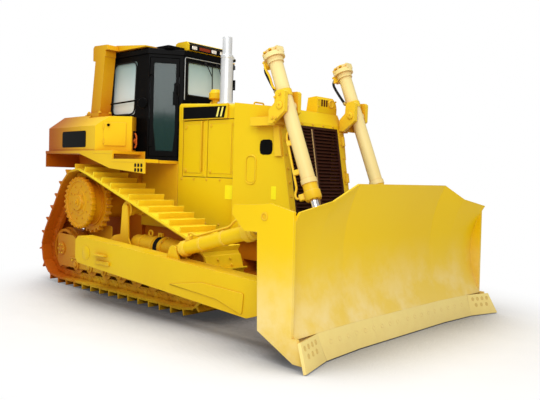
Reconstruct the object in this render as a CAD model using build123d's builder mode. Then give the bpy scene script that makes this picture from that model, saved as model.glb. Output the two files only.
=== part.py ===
"""A high-drive crawler bulldozer with a semi-U blade, built as separate pieces.

Units are millimetres. X points forwards, Y to the machine's left, Z up, and the ground is z = 0.
The origin lies on the ground at the middle of the overall box. Lengths along X are measured from
the blade's tips at the front and from the tank at the rear.
"""

import os
from math import acos, atan2, cos, degrees, hypot, pi, radians, sin, tan

from build123d import *

os.makedirs("parts", exist_ok=True)

# ---------------------------------------------------------------- driving dimensions

length = 5800.0               # blade tips to the back of the tank
front_x = length / 2
rear_x = -length / 2
fit = 0.4                     # running or seating gap between pieces of one body
pin_fit = 0.5                 # radial gap at a moving pin
moving_gap = 8.0              # gap round a door or beside a moving piece

# tracks
track_gauge = 1980.0
shoe_width = 560.0
link_pitch = 216.0
rail_depth = 60.0             # pin line to the tread of the links
shoe_seat = 44.0              # pin line to the bottom of the gap between two shoes
shoe_height = 60.0            # pin line to the outer face of a shoe
grouser_tip = 125.0           # pin line to the tip of a grouser
shoe_inner = 30.0             # pin line to the inner face of a shoe
rail_inner_y = 70.0           # half the gap between the two rails of links
rail_outer_y = 125.0
front_idler_x = 525.0
rear_idler_x = -2415.0
idler_pin_radius = 365.0      # pin line's radius round an idler
sprocket_x = -1875.0
sprocket_z = 1198.0
sprocket_teeth = 25

# undercarriage
frame_half_width = 175.0      # roller frame, about the track's middle
frame_plate = 25.0
frame_top_z = 640.0
frame_floor_z = 440.0
roller_radius = 105.0
roller_flange = 20.0
roller_count = 7
roller_first_x = 120.0
roller_spacing = 355.0
roller_shaft = 40.0
carrier_radius = 85.0
carrier_x = -840.0
trunnion_x = -1050.0          # push arm's pivot on the roller frame
trunnion_z = 600.0
trunnion_radius = 75.0
recoil_radius = 120.0

# final drives and main frame
drum_radius = 356.0           # the bolted rim's
drum_face_y = 1236.0
drive_case_radius = 230.0
sprocket_bore = 300.0
sprocket_half_width = 40.0
case_half_width = 480.0
case_rear_x = rear_x + 450
case_front_x = -1400.0
case_top_z = 1500.0
case_floor_z = 450.0
rail_half_gap = 300.0
rail_outer = 420.0
rail_floor_z = 620.0
rail_top_z = 900.0
nose_x = 1500.0
nose_depth = 110.0
drawbar_eye_x = rear_x + 90
drawbar_floor_z = 540.0
drawbar_top_z = 660.0
drawbar_pin_radius = 28.0
belly_z = 430.0
belly_plate = 30.0

# push arms
edge_x = front_x - 250.0      # front edge of the blade's end plates
ball_x = edge_x - 410.0       # push arm's joint on the blade
arm_inner_y = 1380.0
arm_boss_y = 1330.0           # inner end of the arm's bearing boss
arm_outer_y = 1600.0
arm_rear_x = -1310.0
arm_front_x = ball_x - 110
arm_rear_top = 800.0
arm_rear_bottom = 450.0
arm_front_top = 640.0
arm_front_bottom = 260.0
ball_y = 1465.0
ball_z = 470.0
ball_radius = 70.0
ball_neck = 45.0
ball_play = 32.0              # room round the right arm's ball, which drifts as the blade tilts
socket_half = 125.0

# blade
end_plate_y = 1862.0          # outer face of an end plate
end_plate = 32.0
moldboard = 28.0
fold_y = 870.0                # where the straight middle meets a wing
kink_y = 1313.0
wing_advance = 40.0           # how far a wing's outer end stands ahead of the middle
mold_low_z = 250.0
mold_depth = 165.0
mold_low_x = front_x - 269.0
edge_drop_x = 91.0            # how far the cutting edge leans forwards from top to bottom
edge_thickness = 30.0
edge_floor_z = 12.0
top_middle_z = 1612.0
top_kink_z = 1448.0
top_end_z = 1360.0
bit_inner_top_y = 1500.0
bit_inner_low_y = 1458.0
bit_outer_low_y = 1912.0
bit_outer_top_y = 1866.0

# blade lift and tilt
lift_y = 660.0
yoke_x = 1500.0
yoke_z = 2440.0
lift_eye_x = edge_x - 330
lift_eye_z = 420.0
barrel_radius = 80.0
barrel_bore = 62.0
rod_radius = 42.0
barrel_above = 640.0          # trunnion to the barrel's cap
barrel_below = 920.0          # trunnion to the gland
lift_rod_length = 1830.0
lift_trunnion_radius = 38.0
tilt_rear_x = 620.0
tilt_rear_z = 790.0
tilt_eye_x = edge_x - 470
tilt_eye_z = 1215.0
tilt_radius = 78.0
tilt_bore = 60.0
tilt_rod = 40.0
brace_radius = 62.0

# engine housing
hood_half = 500.0
hood_plate = 25.0
hood_rear_x = -585.0
hood_front_x = 575.0
hood_rear_z = 2600.0
hood_front_z = 2540.0
door_top_z = 2350.0
door_bottom_z = 1620.0
door_seam_x = 0.0
door_rear_x = -480.0
guard_half = 590.0
guard_plate = 45.0
guard_nose_x = 1250.0
guard_nose_z = 2460.0
guard_brow_x = 1325.0
guard_brow_z = 2310.0
guard_foot_x = 1590.0
grille_half = 490.0
grille_low_z = 1060.0
grille_high_z = 2270.0
grille_depth = 50.0
louvre_count = 28

# cab
cab_floor_z = 1820.0
rops_top_z = 3425.0
roof_top_z = rops_top_z - 95
cab_top_z = roof_top_z - 75
cab_front_x = -620.0
cab_front_half = 420.0
cab_post_x = -900.0           # where the door's hinge post stands
cab_side_half = 790.0
cab_rear_x = rear_x + 1060
cab_wall = 45.0
roof_overhang = 25.0
glass = 8.0

# rear body
tank_floor_z = 1930.0
tank_top_z = 2440.0
tank_front_x = rear_x + 1020
tank_bevel = 170.0
fender_outer_y = 1265.0
fender_inner_y = 500.0
fender_front_x = -310.0
rops_foot_x = rear_x + 945    # rear of a leg at its foot
rops_depth = 230.0
rops_lean = 112.0
rops_inner_y = 836.0
rops_outer_y = 1010.0

# ---------------------------------------------------------------- drawing helpers


def hood_top_z(x):
    """Height of the hood's sloping top at this x."""
    share = (x - hood_rear_x) / (hood_front_x - hood_rear_x)
    return hood_rear_z + (hood_front_z - hood_rear_z) * share


def guard_top_z(x):
    """Height of the guard's sloping top at this x."""
    share = (x - hood_front_x) / (guard_nose_x - hood_front_x)
    return hood_front_z + (guard_nose_z - hood_front_z) * share


def side_plane(y):
    """The XZ plane at this y. Local x is X, local y is Z, and extrusions run towards -Y."""
    return Plane(origin=(0, y, 0), x_dir=(1, 0, 0), z_dir=(0, -1, 0))


def side_slab(points, y_low, y_high, mode=Mode.ADD):
    """A closed side-view outline of (x, z) points, solid between two values of y."""
    with BuildSketch(side_plane(y_high)) as outline:
        with BuildLine():
            Polyline(*points, close=True)
        make_face()
    extrude(outline.sketch, amount=y_high - y_low, mode=mode)


def plan_slab(points, z_low, z_high, mode=Mode.ADD):
    """A closed plan outline of (x, y) points, solid between two heights."""
    with BuildSketch(Plane.XY.offset(z_low)) as outline:
        with BuildLine():
            Polyline(*points, close=True)
        make_face()
    extrude(outline.sketch, amount=z_high - z_low, mode=mode)


def front_slab(points, x_low, x_high, mode=Mode.ADD):
    """A closed front-view outline of (y, z) points, solid between two values of x."""
    with BuildSketch(Plane(origin=(x_low, 0, 0), x_dir=(0, 1, 0), z_dir=(1, 0, 0))) as outline:
        with BuildLine():
            Polyline(*points, close=True)
        make_face()
    extrude(outline.sketch, amount=x_high - x_low, mode=mode)


def block(x_low, x_high, y_low, y_high, z_low, z_high, mode=Mode.ADD):
    """A plain box between these limits."""
    with Locations(((x_low + x_high) / 2, (y_low + y_high) / 2, (z_low + z_high) / 2)):
        Box(x_high - x_low, y_high - y_low, z_high - z_low, mode=mode)


def cross_bar(x, z, radius, y_low, y_high, mode=Mode.ADD):
    """A round bar or bore along Y."""
    with Locations((x, (y_low + y_high) / 2, z)):
        Cylinder(radius, y_high - y_low, rotation=(90, 0, 0), mode=mode)


def long_bar(y, z, radius, x_low, x_high, mode=Mode.ADD):
    """A round bar or bore along X."""
    with Locations(((x_low + x_high) / 2, y, z)):
        Cylinder(radius, x_high - x_low, rotation=(0, 90, 0), mode=mode)


def post(x, y, radius, z_low, z_high, mode=Mode.ADD):
    """A round bar or bore along Z."""
    with Locations((x, y, (z_low + z_high) / 2)):
        Cylinder(radius, z_high - z_low, mode=mode)


def span(side, near, far):
    """Two distances from the middle, on one side, as a low and a high value of y."""
    return min(side * near, side * far), max(side * near, side * far)


def save(builder, name):
    """Label a finished piece and write its STEP file."""
    builder.part.label = name
    export_step(builder.part, f"parts/{name}.step")


sides = ((1, "left"), (-1, "right"))
track_y = track_gauge / 2

# ---------------------------------------------------------------- track path

ground_pin_z = grouser_tip
idler_z = ground_pin_z + idler_pin_radius
sprocket_pin_radius = sprocket_teeth * link_pitch / (4 * pi)
# each wheel: x, z, radius of the pin line round it, in the order the chain runs
wheels = ((front_idler_x, idler_z, idler_pin_radius),
          (rear_idler_x, idler_z, idler_pin_radius),
          (sprocket_x, sprocket_z, sprocket_pin_radius))


def tangent_normal(a, b):
    """Angle of the outward normal of the chain's straight run from wheel a to wheel b."""
    run = atan2(b[1] - a[1], b[0] - a[0])
    reach = hypot(b[0] - a[0], b[1] - a[1])
    return run + acos((a[2] - b[2]) / reach)


def chain_runs():
    """The pin line as (start x, start z, end x, end z, length, wheel, start angle) runs and arcs."""
    runs = []
    for i, wheel in enumerate(wheels):
        following = wheels[(i + 1) % 3]
        last = wheels[i - 1]
        normal_in = tangent_normal(last, wheel)
        normal_out = tangent_normal(wheel, following)
        turn = (normal_in - normal_out) % (2 * pi)
        runs.append(("arc", wheel, normal_in, wheel[2] * turn))
        start = (wheel[0] + wheel[2] * cos(normal_out), wheel[1] + wheel[2] * sin(normal_out))
        end = (following[0] + following[2] * cos(normal_out),
               following[1] + following[2] * sin(normal_out))
        runs.append(("line", start, end, hypot(end[0] - start[0], end[1] - start[1])))
    return runs


chain = chain_runs()
chain_length = sum(run[3] for run in chain)
link_count = round(chain_length / link_pitch)
link_step = chain_length / link_count


def chain_point(distance):
    """The point of the pin line at this distance from its start."""
    left = distance % chain_length
    for kind, first, second, reach in chain:
        if left <= reach:
            if kind == "arc":
                angle = second - left / first[2]
                return first[0] + first[2] * cos(angle), first[1] + first[2] * sin(angle)
            share = left / reach
            return (first[0] + (second[0] - first[0]) * share,
                    first[1] + (second[1] - first[1]) * share)
        left -= reach
    return chain_point(0)


pins = [chain_point(i * link_step) for i in range(link_count)]


def link_frame(i):
    """Start pin, unit direction, outward normal and length of one link."""
    start = pins[i % link_count]
    end = pins[(i + 1) % link_count]
    reach = hypot(end[0] - start[0], end[1] - start[1])
    along = ((end[0] - start[0]) / reach, (end[1] - start[1]) / reach)
    return start, along, (-along[1], along[0]), reach


def joint_point(i, offset):
    """The mitred point at one pin, this far outside the pin line."""
    pin, _, after, _ = link_frame(i)
    _, _, before, _ = link_frame(i - 1)
    mid = (before[0] + after[0], before[1] + after[1])
    size = hypot(*mid)
    lift = offset * 2 / (size * size)
    return pin[0] + mid[0] * lift, pin[1] + mid[1] * lift


def link_point(i, along_distance, offset):
    """A point of one link, along it from its first pin and outwards from the pin line."""
    start, along, normal, _ = link_frame(i)
    return (start[0] + along[0] * along_distance + normal[0] * offset,
            start[1] + along[1] * along_distance + normal[1] * offset)


def shoe_outline():
    """The outer outline of the whole chain of shoes, with a grouser at the back of each."""
    points = []
    for i in range(link_count):
        reach = link_frame(i)[3]
        points.append(joint_point(i, shoe_seat))
        # distance along the shoe, height over the pin line
        for along_distance, height in ((6, shoe_height), (reach - 54, shoe_height),
                                       (reach - 46, grouser_tip), (reach - 30, grouser_tip),
                                       (reach - 22, shoe_height)):
            points.append(link_point(i, along_distance, height))
    return points


def chain_ring(inner, outer):
    """Mitred outlines of the chain at two offsets from the pin line."""
    return ([joint_point(i, inner) for i in range(link_count)],
            [joint_point(i, outer) for i in range(link_count)])


for side, name in sides:
    shoe_hole, rail_outside = chain_ring(shoe_inner, shoe_inner + 7)
    rail_hole, _ = chain_ring(-rail_depth, 0)
    with BuildPart() as track:
        shoe_low, shoe_high = span(side, track_y - shoe_width / 2, track_y + shoe_width / 2)
        side_slab(shoe_outline(), shoe_low, shoe_high)
        side_slab(shoe_hole, shoe_low, shoe_high, mode=Mode.SUBTRACT)
        for rail_side in (-1, 1):
            rail_low, rail_high = sorted((track_y + rail_side * rail_inner_y,
                                          track_y + rail_side * rail_outer_y))
            rail_low, rail_high = span(side, rail_low, rail_high)
            with BuildSketch(side_plane(rail_high)) as rail:
                with BuildLine():
                    Polyline(*rail_outside, close=True)
                make_face()
                with BuildLine():
                    Polyline(*rail_hole, close=True)
                make_face(mode=Mode.SUBTRACT)
            extrude(rail.sketch, amount=rail_high - rail_low)
    save(track, f"track_{name}")

# ---------------------------------------------------------------- sprockets and final drives

tooth_root = sprocket_pin_radius - 36
tooth_tip = sprocket_pin_radius + 4


def sprocket_outline():
    """A toothed outline: root, flank, tip, flank for every tooth."""
    points = []
    tooth_angle = 2 * pi / sprocket_teeth
    first = tangent_normal(wheels[1], wheels[2])
    for i in range(sprocket_teeth):
        # share of the tooth's angle, radius
        for share, radius in ((0.28, tooth_root), (0.40, tooth_tip), (0.60, tooth_tip),
                              (0.72, tooth_root)):
            angle = first + (i + share) * tooth_angle
            points.append((sprocket_x + radius * cos(angle), sprocket_z + radius * sin(angle)))
    return points


for side, name in sides:
    with BuildPart() as sprocket:
        low, high = span(side, track_y - sprocket_half_width, track_y + sprocket_half_width)
        side_slab(sprocket_outline(), low, high)
        cross_bar(sprocket_x, sprocket_z, sprocket_bore, low, high, mode=Mode.SUBTRACT)
    save(sprocket, f"sprocket_{name}")

    with BuildPart() as final_drive:
        inner_face = track_y - sprocket_half_width
        flange_face = track_y + sprocket_half_width
        # distance from the middle, radius
        steps = ((case_half_width, 0), (case_half_width, drive_case_radius),
                 (inner_face - 60, drive_case_radius), (inner_face - 20, sprocket_bore - 2),
                 (flange_face, sprocket_bore - 2), (flange_face, sprocket_bore + 36),
                 (flange_face + 22, sprocket_bore + 36), (flange_face + 26, drum_radius - 44),
                 (drum_face_y - 62, drum_radius - 44),
                 (drum_face_y - 62, drum_radius), (drum_face_y - 14, drum_radius),
                 (drum_face_y, drum_radius - 14), (drum_face_y, drum_radius - 52),
                 (drum_face_y - 14, drum_radius - 60), (drum_face_y - 14, 190),
                 (drum_face_y - 4, 180), (drum_face_y - 4, 120), (drum_face_y + 22, 106),
                 (drum_face_y + 22, 0))
        axle = Plane(origin=(sprocket_x, 0, sprocket_z), x_dir=(0, side, 0), z_dir=(1, 0, 0))
        with BuildSketch(axle) as drive_section:
            with BuildLine():
                Polyline(*steps, close=True)
            make_face()
        revolve(drive_section.sketch, axis=Axis((sprocket_x, 0, sprocket_z), (0, 1, 0)))
    save(final_drive, f"final_drive_{name}")

# ---------------------------------------------------------------- idlers, rollers, roller frames

tread_drop = idler_pin_radius * (1 - cos(link_step / (2 * idler_pin_radius)))
idler_tread = idler_pin_radius - tread_drop - rail_depth - fit
cheek_inner = frame_half_width - frame_plate
roller_z = ground_pin_z + rail_depth + fit + roller_radius


def wheel_section(x, z, tread, flange, hub, shaft, web_inner, web_outer):
    """Half section of a double-treaded wheel with a middle flange and a dished web, revolved."""
    half = rail_outer_y + 6
    # distance from the wheel's middle, radius
    steps = ((-cheek_inner, 0), (-cheek_inner, shaft), (-half + 10, shaft), (-half + 10, hub),
             (-web_inner, hub), (-web_outer, tread - 45), (-half, tread - 40), (-half, tread),
             (-rail_inner_y + 8, tread), (-rail_inner_y + 14, flange), (rail_inner_y - 14, flange),
             (rail_inner_y - 8, tread), (half, tread), (half, tread - 40), (web_outer, tread - 45),
             (web_inner, hub), (half - 10, hub), (half - 10, shaft), (cheek_inner, shaft),
             (cheek_inner, 0))
    plane = Plane(origin=(x, track_side * track_y, z), x_dir=(0, 1, 0), z_dir=(1, 0, 0))
    with BuildSketch(plane) as section:
        with BuildLine():
            Polyline(*steps, close=True)
        make_face()
    revolve(section.sketch, axis=Axis((x, 0, z), (0, 1, 0)))


def roller_section(x, z, tread):
    """A spool roller with a flange outside each rail and its shaft ends, revolved."""
    inside = rail_inner_y - 8
    outside = rail_outer_y + 6
    steps = ((-cheek_inner, 0), (-cheek_inner, roller_shaft), (-outside - 12, roller_shaft),
             (-outside - 12, tread + roller_flange), (-outside, tread + roller_flange),
             (-outside, tread), (-inside, tread), (-inside + 10, tread - 22),
             (inside - 10, tread - 22), (inside, tread), (outside, tread),
             (outside, tread + roller_flange), (outside + 12, tread + roller_flange),
             (outside + 12, roller_shaft), (cheek_inner, roller_shaft), (cheek_inner, 0))
    plane = Plane(origin=(x, track_side * track_y, z), x_dir=(0, 1, 0), z_dir=(1, 0, 0))
    with BuildSketch(plane) as section:
        with BuildLine():
            Polyline(*steps, close=True)
        make_face()
    revolve(section.sketch, axis=Axis((x, 0, z), (0, 1, 0)))


# the carrier roller hangs inside the chain's upper run
upper_start, upper_end = chain[5][1], chain[5][2]
upper_slope = (upper_end[1] - upper_start[1]) / (upper_end[0] - upper_start[0])
upper_tilt = atan2(upper_end[1] - upper_start[1], upper_end[0] - upper_start[0])
carrier_drop = (rail_depth + fit + carrier_radius) / cos(upper_tilt)
carrier_z = upper_start[1] + (carrier_x - upper_start[0]) * upper_slope - carrier_drop

for track_side, name in sides:
    with BuildPart() as idlers:
        for idler_x in (front_idler_x, rear_idler_x):
            wheel_section(idler_x, idler_z, idler_tread, idler_tread + 24, 105, 55, 40, 22)
    save(idlers, f"idlers_{name}")
    with BuildPart() as rollers:
        for i in range(roller_count):
            roller_section(roller_first_x - i * roller_spacing, roller_z, roller_radius)
        roller_section(carrier_x, carrier_z, carrier_radius)
    save(rollers, f"rollers_{name}")

    with BuildPart() as roller_frame:
        box_front = front_idler_x - idler_tread - 42
        box_rear = rear_idler_x + idler_tread + 42
        low, high = span(track_side, track_y - frame_half_width, track_y + frame_half_width)
        block(box_rear, box_front, low, high, frame_floor_z, frame_top_z)
        # cheeks that carry the rollers' and idlers' shafts: x, z going round
        cheek = ((rear_idler_x - 115, idler_z - 190), (rear_idler_x - 115, idler_z + 205),
                 (rear_idler_x - 95, idler_z + 225), (box_rear - 30, idler_z + 215),
                 (box_rear + 90, frame_top_z), (box_front + 60, frame_top_z),
                 (front_idler_x + 90, idler_z + 90), (front_idler_x + 90, idler_z - 90),
                 (box_front + 20, 330), (box_front - 40, 245), (rear_idler_x + 20, 245),
                 (rear_idler_x - 50, idler_z - 270))
        for wall in (-1, 1):
            wall_low, wall_high = sorted((track_y + wall * cheek_inner,
                                          track_y + wall * frame_half_width))
            side_slab(cheek, *span(track_side, wall_low, wall_high))
        # recoil spring housing and its lifting lug
        long_bar(track_side * track_y, frame_top_z + 70, recoil_radius, -780, box_front - 20)
        block(-330, -250, track_side * track_y - 15, track_side * track_y + 15,
              frame_top_z + 120, frame_top_z + 250)
        cross_bar(-290, frame_top_z + 215, 18, track_side * track_y - 40,
                  track_side * track_y + 40, mode=Mode.SUBTRACT)
        # carrier roller's pedestal, outside the chain, with its shaft's seat
        pedestal = ((carrier_x - 560, frame_top_z), (carrier_x + 175, frame_top_z),
                    (carrier_x + 80, frame_top_z + 150), (carrier_x + 60, carrier_z + 40),
                    (carrier_x + 30, carrier_z + 68), (carrier_x - 30, carrier_z + 68),
                    (carrier_x - 60, carrier_z + 40), (carrier_x - 90, frame_top_z + 190),
                    (carrier_x - 230, frame_top_z + 165), (carrier_x - 390, frame_top_z + 60))
        side_slab(pedestal, *span(track_side, track_y + cheek_inner, track_y + frame_half_width))
        # push arm's trunnion, with a stepped boss on the frame
        cross_bar(trunnion_x, trunnion_z, trunnion_radius + 35,
                  *span(track_side, track_y + frame_half_width - 5, arm_boss_y - moving_gap))
        cross_bar(trunnion_x, trunnion_z, trunnion_radius,
                  *span(track_side, track_y + frame_half_width - 5, arm_outer_y))
        # stub that pivots on the main frame
        cross_bar(trunnion_x, trunnion_z, 80,
                  *span(track_side, rail_outer, track_y - cheek_inner))
    save(roller_frame, f"roller_frame_{name}")

# ---------------------------------------------------------------- main frame and its guard plates

with BuildPart() as main_frame:
    case = ((case_rear_x, case_floor_z + 120), (case_rear_x, case_top_z - 260),
            (case_rear_x + 200, case_top_z), (case_front_x, case_top_z),
            (case_front_x, case_floor_z + 60), (case_rear_x + 160, case_floor_z))
    side_slab(case, -case_half_width, case_half_width)
    for side, _ in sides:
        low, high = span(side, rail_half_gap, rail_outer)
        block(case_front_x - 40, nose_x, low, high, rail_floor_z, rail_top_z)
    block(nose_x - nose_depth, nose_x, -rail_outer, rail_outer, 520, rail_top_z)
    block(-760, -700, -rail_outer, rail_outer, rail_floor_z, rail_top_z - 120)
    # bolt holes of the rear face
    for y in (-200, 200):
        for z in (760, 1060):
            long_bar(y, z, 14, case_rear_x - 5, case_rear_x + 60, mode=Mode.SUBTRACT)
save(main_frame, "main_frame")

with BuildPart() as belly_guard:
    block(case_front_x + 10, 1180, -rail_outer, rail_outer, belly_z, belly_z + belly_plate)
    ramp = ((1180, belly_z), (nose_x - nose_depth - 2, 520), (nose_x - nose_depth - 2, 556),
            (1180, belly_z + belly_plate))
    side_slab(ramp, -rail_outer, rail_outer)
    for x in (case_front_x + 40, -500, 600, 1200):
        block(x, x + 30, -rail_outer, rail_outer, belly_z + belly_plate - 1, rail_floor_z)
save(belly_guard, "belly_guard")

with BuildPart() as equalizer_bar:
    reach = track_y - frame_half_width
    bar = ((-reach, 560), (-reach, 600), (-500, rail_floor_z), (500, rail_floor_z), (reach, 600),
           (reach, 560), (300, 500), (-300, 500))
    front_slab(bar, -70, 70)
save(equalizer_bar, "equalizer_bar")

with BuildPart() as engine_block:
    block(hood_rear_x + 135, guard_nose_x - 350, -rail_half_gap, rail_half_gap, rail_top_z,
          rail_top_z + 1000)
    for side, _ in sides:
        low, high = span(side, rail_half_gap - 10, rail_outer - 70)
        for x in (hood_rear_x + 345, guard_nose_x - 590):
            block(x - 60, x + 60, low, high, rail_top_z, rail_top_z + 60)
save(engine_block, "engine_block")

with BuildPart() as drawbar:
    block(drawbar_eye_x, case_rear_x, -110, 110, drawbar_floor_z, drawbar_top_z)
    block(case_rear_x - 60, case_rear_x, -160, 160, drawbar_floor_z, drawbar_top_z + 60)
    post(drawbar_eye_x, 0, 90, drawbar_floor_z, drawbar_top_z)
    block(drawbar_eye_x - 95, drawbar_eye_x + 90, -111, 111, drawbar_floor_z + 32,
          drawbar_top_z - 32, mode=Mode.SUBTRACT)
    post(drawbar_eye_x, 0, drawbar_pin_radius, drawbar_floor_z - 5, drawbar_top_z + 5,
         mode=Mode.SUBTRACT)
save(drawbar, "drawbar")

# ---------------------------------------------------------------- engine housing

guard_slope = (guard_foot_x - guard_brow_x) / (guard_brow_z - rail_top_z)


def guard_front_x(z, inset=0.0):
    """X of the guard's leaning front face at this height."""
    return guard_brow_x + (guard_brow_z - z) * guard_slope - inset


with BuildPart() as radiator_guard:
    outside = ((hood_front_x, rail_top_z), (hood_front_x, hood_front_z),
               (guard_nose_x, guard_nose_z), (guard_brow_x, guard_brow_z),
               (guard_foot_x, rail_top_z))
    side_slab(outside, -guard_half, guard_half)
    top_drop = guard_plate
    inside = ((hood_front_x - 5, rail_top_z - 5), (hood_front_x - 5, hood_front_z - top_drop),
              (guard_nose_x - 30, guard_nose_z - top_drop),
              (guard_brow_x - guard_plate, guard_brow_z - 20),
              (guard_front_x(rail_top_z - 5, guard_plate), rail_top_z - 5))
    side_slab(inside, guard_plate - guard_half, guard_half - guard_plate, mode=Mode.SUBTRACT)
    mouth = ((guard_front_x(grille_low_z, 80), grille_low_z),
             (guard_front_x(grille_high_z, 80), grille_high_z),
             (guard_front_x(grille_high_z, -40), grille_high_z),
             (guard_front_x(grille_low_z, -40), grille_low_z))
    side_slab(mouth, -grille_half, grille_half, mode=Mode.SUBTRACT)
save(radiator_guard, "radiator_guard")

with BuildPart() as grille:
    low_z = grille_low_z + fit
    high_z = grille_high_z - fit
    half = grille_half - fit
    panel = ((guard_front_x(low_z, grille_depth), low_z), (guard_front_x(high_z, grille_depth), high_z),
             (guard_front_x(high_z, 4), high_z), (guard_front_x(low_z, 4), low_z))
    side_slab(panel, -half, half)
    hole = ((guard_front_x(low_z, 90), low_z + 30), (guard_front_x(high_z, 90), high_z - 30),
            (guard_front_x(high_z, -40), high_z - 30), (guard_front_x(low_z, -40), low_z + 30))
    for side, _ in sides:
        side_slab(hole, *span(side, 14, half - 30), mode=Mode.SUBTRACT)
    pitch = (high_z - low_z - 60) / louvre_count
    for i in range(louvre_count):
        z = low_z + 30 + pitch * (i + 0.5)
        x = guard_front_x(z)
        louvre = ((x - 40, z + 12), (x - 40, z + 18), (x - 8, z - 10), (x - 8, z - 16))
        side_slab(louvre, -half + 20, half - 20)
save(grille, "grille")

with BuildPart() as radiator_core:
    core_x = guard_nose_x - 130
    core_top_z = guard_nose_z - 130
    core = ((core_x, rail_top_z), (core_x, core_top_z), (core_x + 90, core_top_z),
            (core_x + 90, rail_top_z))
    side_slab(core, guard_plate - guard_half, guard_half - guard_plate)
save(radiator_core, "radiator_core")

# lower side panels with the rear pillars that carry the hood, and the pins the doors turn on
door_edge = hood_plate / 2
door_pin_y = hood_half - door_edge
# door: name, rear edge, middle of the hinge
engine_doors = (("rear", door_rear_x, door_seam_x - 10 - door_edge),
                ("front", door_seam_x + 10, hood_front_x - 24 - door_edge))
with BuildPart() as side_panels:
    for side, _ in sides:
        low, high = span(side, hood_half - hood_plate, hood_half)
        sill_z = door_bottom_z - moving_gap
        outline = ((door_rear_x - 100, rail_top_z), (hood_front_x, rail_top_z),
                   (hood_front_x, sill_z), (door_rear_x - 14, sill_z),
                   (door_rear_x - 14, door_top_z + 10), (door_rear_x - 100, door_top_z + 10))
        side_slab(outline, low, high)
        foot_low, foot_high = span(side, rail_outer - 60, hood_half)
        block(door_rear_x - 100, -320, foot_low, foot_high, rail_top_z, rail_top_z + 20)
        for _, _, pin_x in engine_doors:
            post(pin_x, side * door_pin_y, 6, sill_z - 5, door_bottom_z + 25)
save(side_panels, "side_panels")

for side, name in sides:
    for where, rear, pin_x in engine_doors:
        with BuildPart() as engine_door:
            low, high = span(side, hood_half - hood_plate, hood_half)
            block(rear, pin_x, low, high, door_bottom_z, door_top_z)
            post(pin_x, side * door_pin_y, door_edge, door_bottom_z, door_top_z)
            raised_low, raised_high = span(side, hood_half - 1, hood_half + 6)
            block(rear + 40, pin_x - 90, raised_low, raised_high, door_bottom_z + 50, door_top_z - 50)
            post(pin_x - 50, side * (hood_half - 2), 11, door_bottom_z + 20, door_top_z - 20)
            for z_low, z_high in ((door_bottom_z - 5, door_bottom_z + 30),
                                  (door_top_z - 30, door_top_z + 5)):
                post(pin_x, side * door_pin_y, 6 + pin_fit, z_low, z_high, mode=Mode.SUBTRACT)
        save(engine_door, f"engine_door_{where}_{name}")

with BuildPart() as hood:
    skirt_z = door_top_z + 10
    outside = ((hood_rear_x, skirt_z), (hood_rear_x, hood_rear_z), (hood_front_x, hood_front_z),
               (hood_front_x, skirt_z))
    side_slab(outside, -hood_half, hood_half)
    top_edges = [edge for edge in hood.faces().sort_by(Axis.Z)[-1].edges()
                 if abs(edge.center().Y) > hood_half - 1]
    fillet(top_edges, radius=55)
    inside = ((hood_rear_x - 5, skirt_z - 5), (hood_rear_x - 5, hood_rear_z - 30),
              (hood_front_x + 5, hood_front_z - 30), (hood_front_x + 5, skirt_z - 5))
    side_slab(inside, hood_plate - hood_half, hood_half - hood_plate, mode=Mode.SUBTRACT)
    for side, _ in sides:
        for _, _, pin_x in engine_doors:
            post(pin_x, side * door_pin_y, 6, door_top_z - 25, skirt_z + 5)
        # raised band over the doors
        low, high = span(side, hood_half - 1, hood_half + 24)
        block(hood_rear_x + 85, hood_rear_x + 965, low, high, skirt_z + 5, skirt_z + 190)
save(hood, "hood")

stack_x = 130.0
stack_y = -320.0
stack_radius = 66.0
stack_top_z = rops_top_z
with BuildPart() as exhaust_stack:
    stack_foot_z = hood_top_z(stack_x - stack_radius) + fit
    pipe_z = stack_foot_z + (stack_top_z - stack_foot_z) * 0.72
    post(stack_x, stack_y, stack_radius, stack_foot_z, pipe_z)
    post(stack_x, stack_y, 50, pipe_z - 10, stack_top_z)
    post(stack_x, stack_y, 43, pipe_z + 30, stack_top_z + 1, mode=Mode.SUBTRACT)
save(exhaust_stack, "exhaust_stack")

precleaner_x = -270.0
precleaner_y = -130.0
with BuildPart() as air_precleaner:
    foot_z = hood_top_z(precleaner_x - 45) + fit
    # radius, height over the hood
    steps = ((0, 0), (45, 0), (45, 70), (95, 92), (95, 165), (60, 215), (0, 222))
    with BuildSketch(Plane(origin=(precleaner_x, precleaner_y, foot_z), x_dir=(1, 0, 0),
                           z_dir=(0, -1, 0))) as section:
        with BuildLine():
            Polyline(*steps, close=True)
        make_face()
    revolve(section.sketch, axis=Axis((precleaner_x, precleaner_y, 0), (0, 0, 1)))
save(air_precleaner, "air_precleaner")

with BuildPart() as radiator_cap_box:
    box_low_x, box_high_x = guard_nose_x - 190, guard_nose_x - 10
    box_top_z = guard_nose_z + 205
    box = ((box_low_x, guard_top_z(box_low_x) + fit), (box_low_x + 25, box_top_z - 12),
           (box_high_x - 25, box_top_z), (box_high_x, box_top_z - 32),
           (box_high_x, guard_top_z(box_high_x) + fit))
    side_slab(box, guard_half - 400, guard_half - 8)
    rim = [edge for edge in radiator_cap_box.edges().filter_by(Axis.X)
           if edge.center().Z > box_top_z - 60]
    rim = radiator_cap_box.faces().filter_by(GeomType.PLANE).sort_by(Axis.Y)[-1].edges()
    fillet([edge for edge in rim if edge.center().Z > box_top_z - 40], radius=70)
save(radiator_cap_box, "radiator_cap_box")

# ---------------------------------------------------------------- cab

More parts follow.
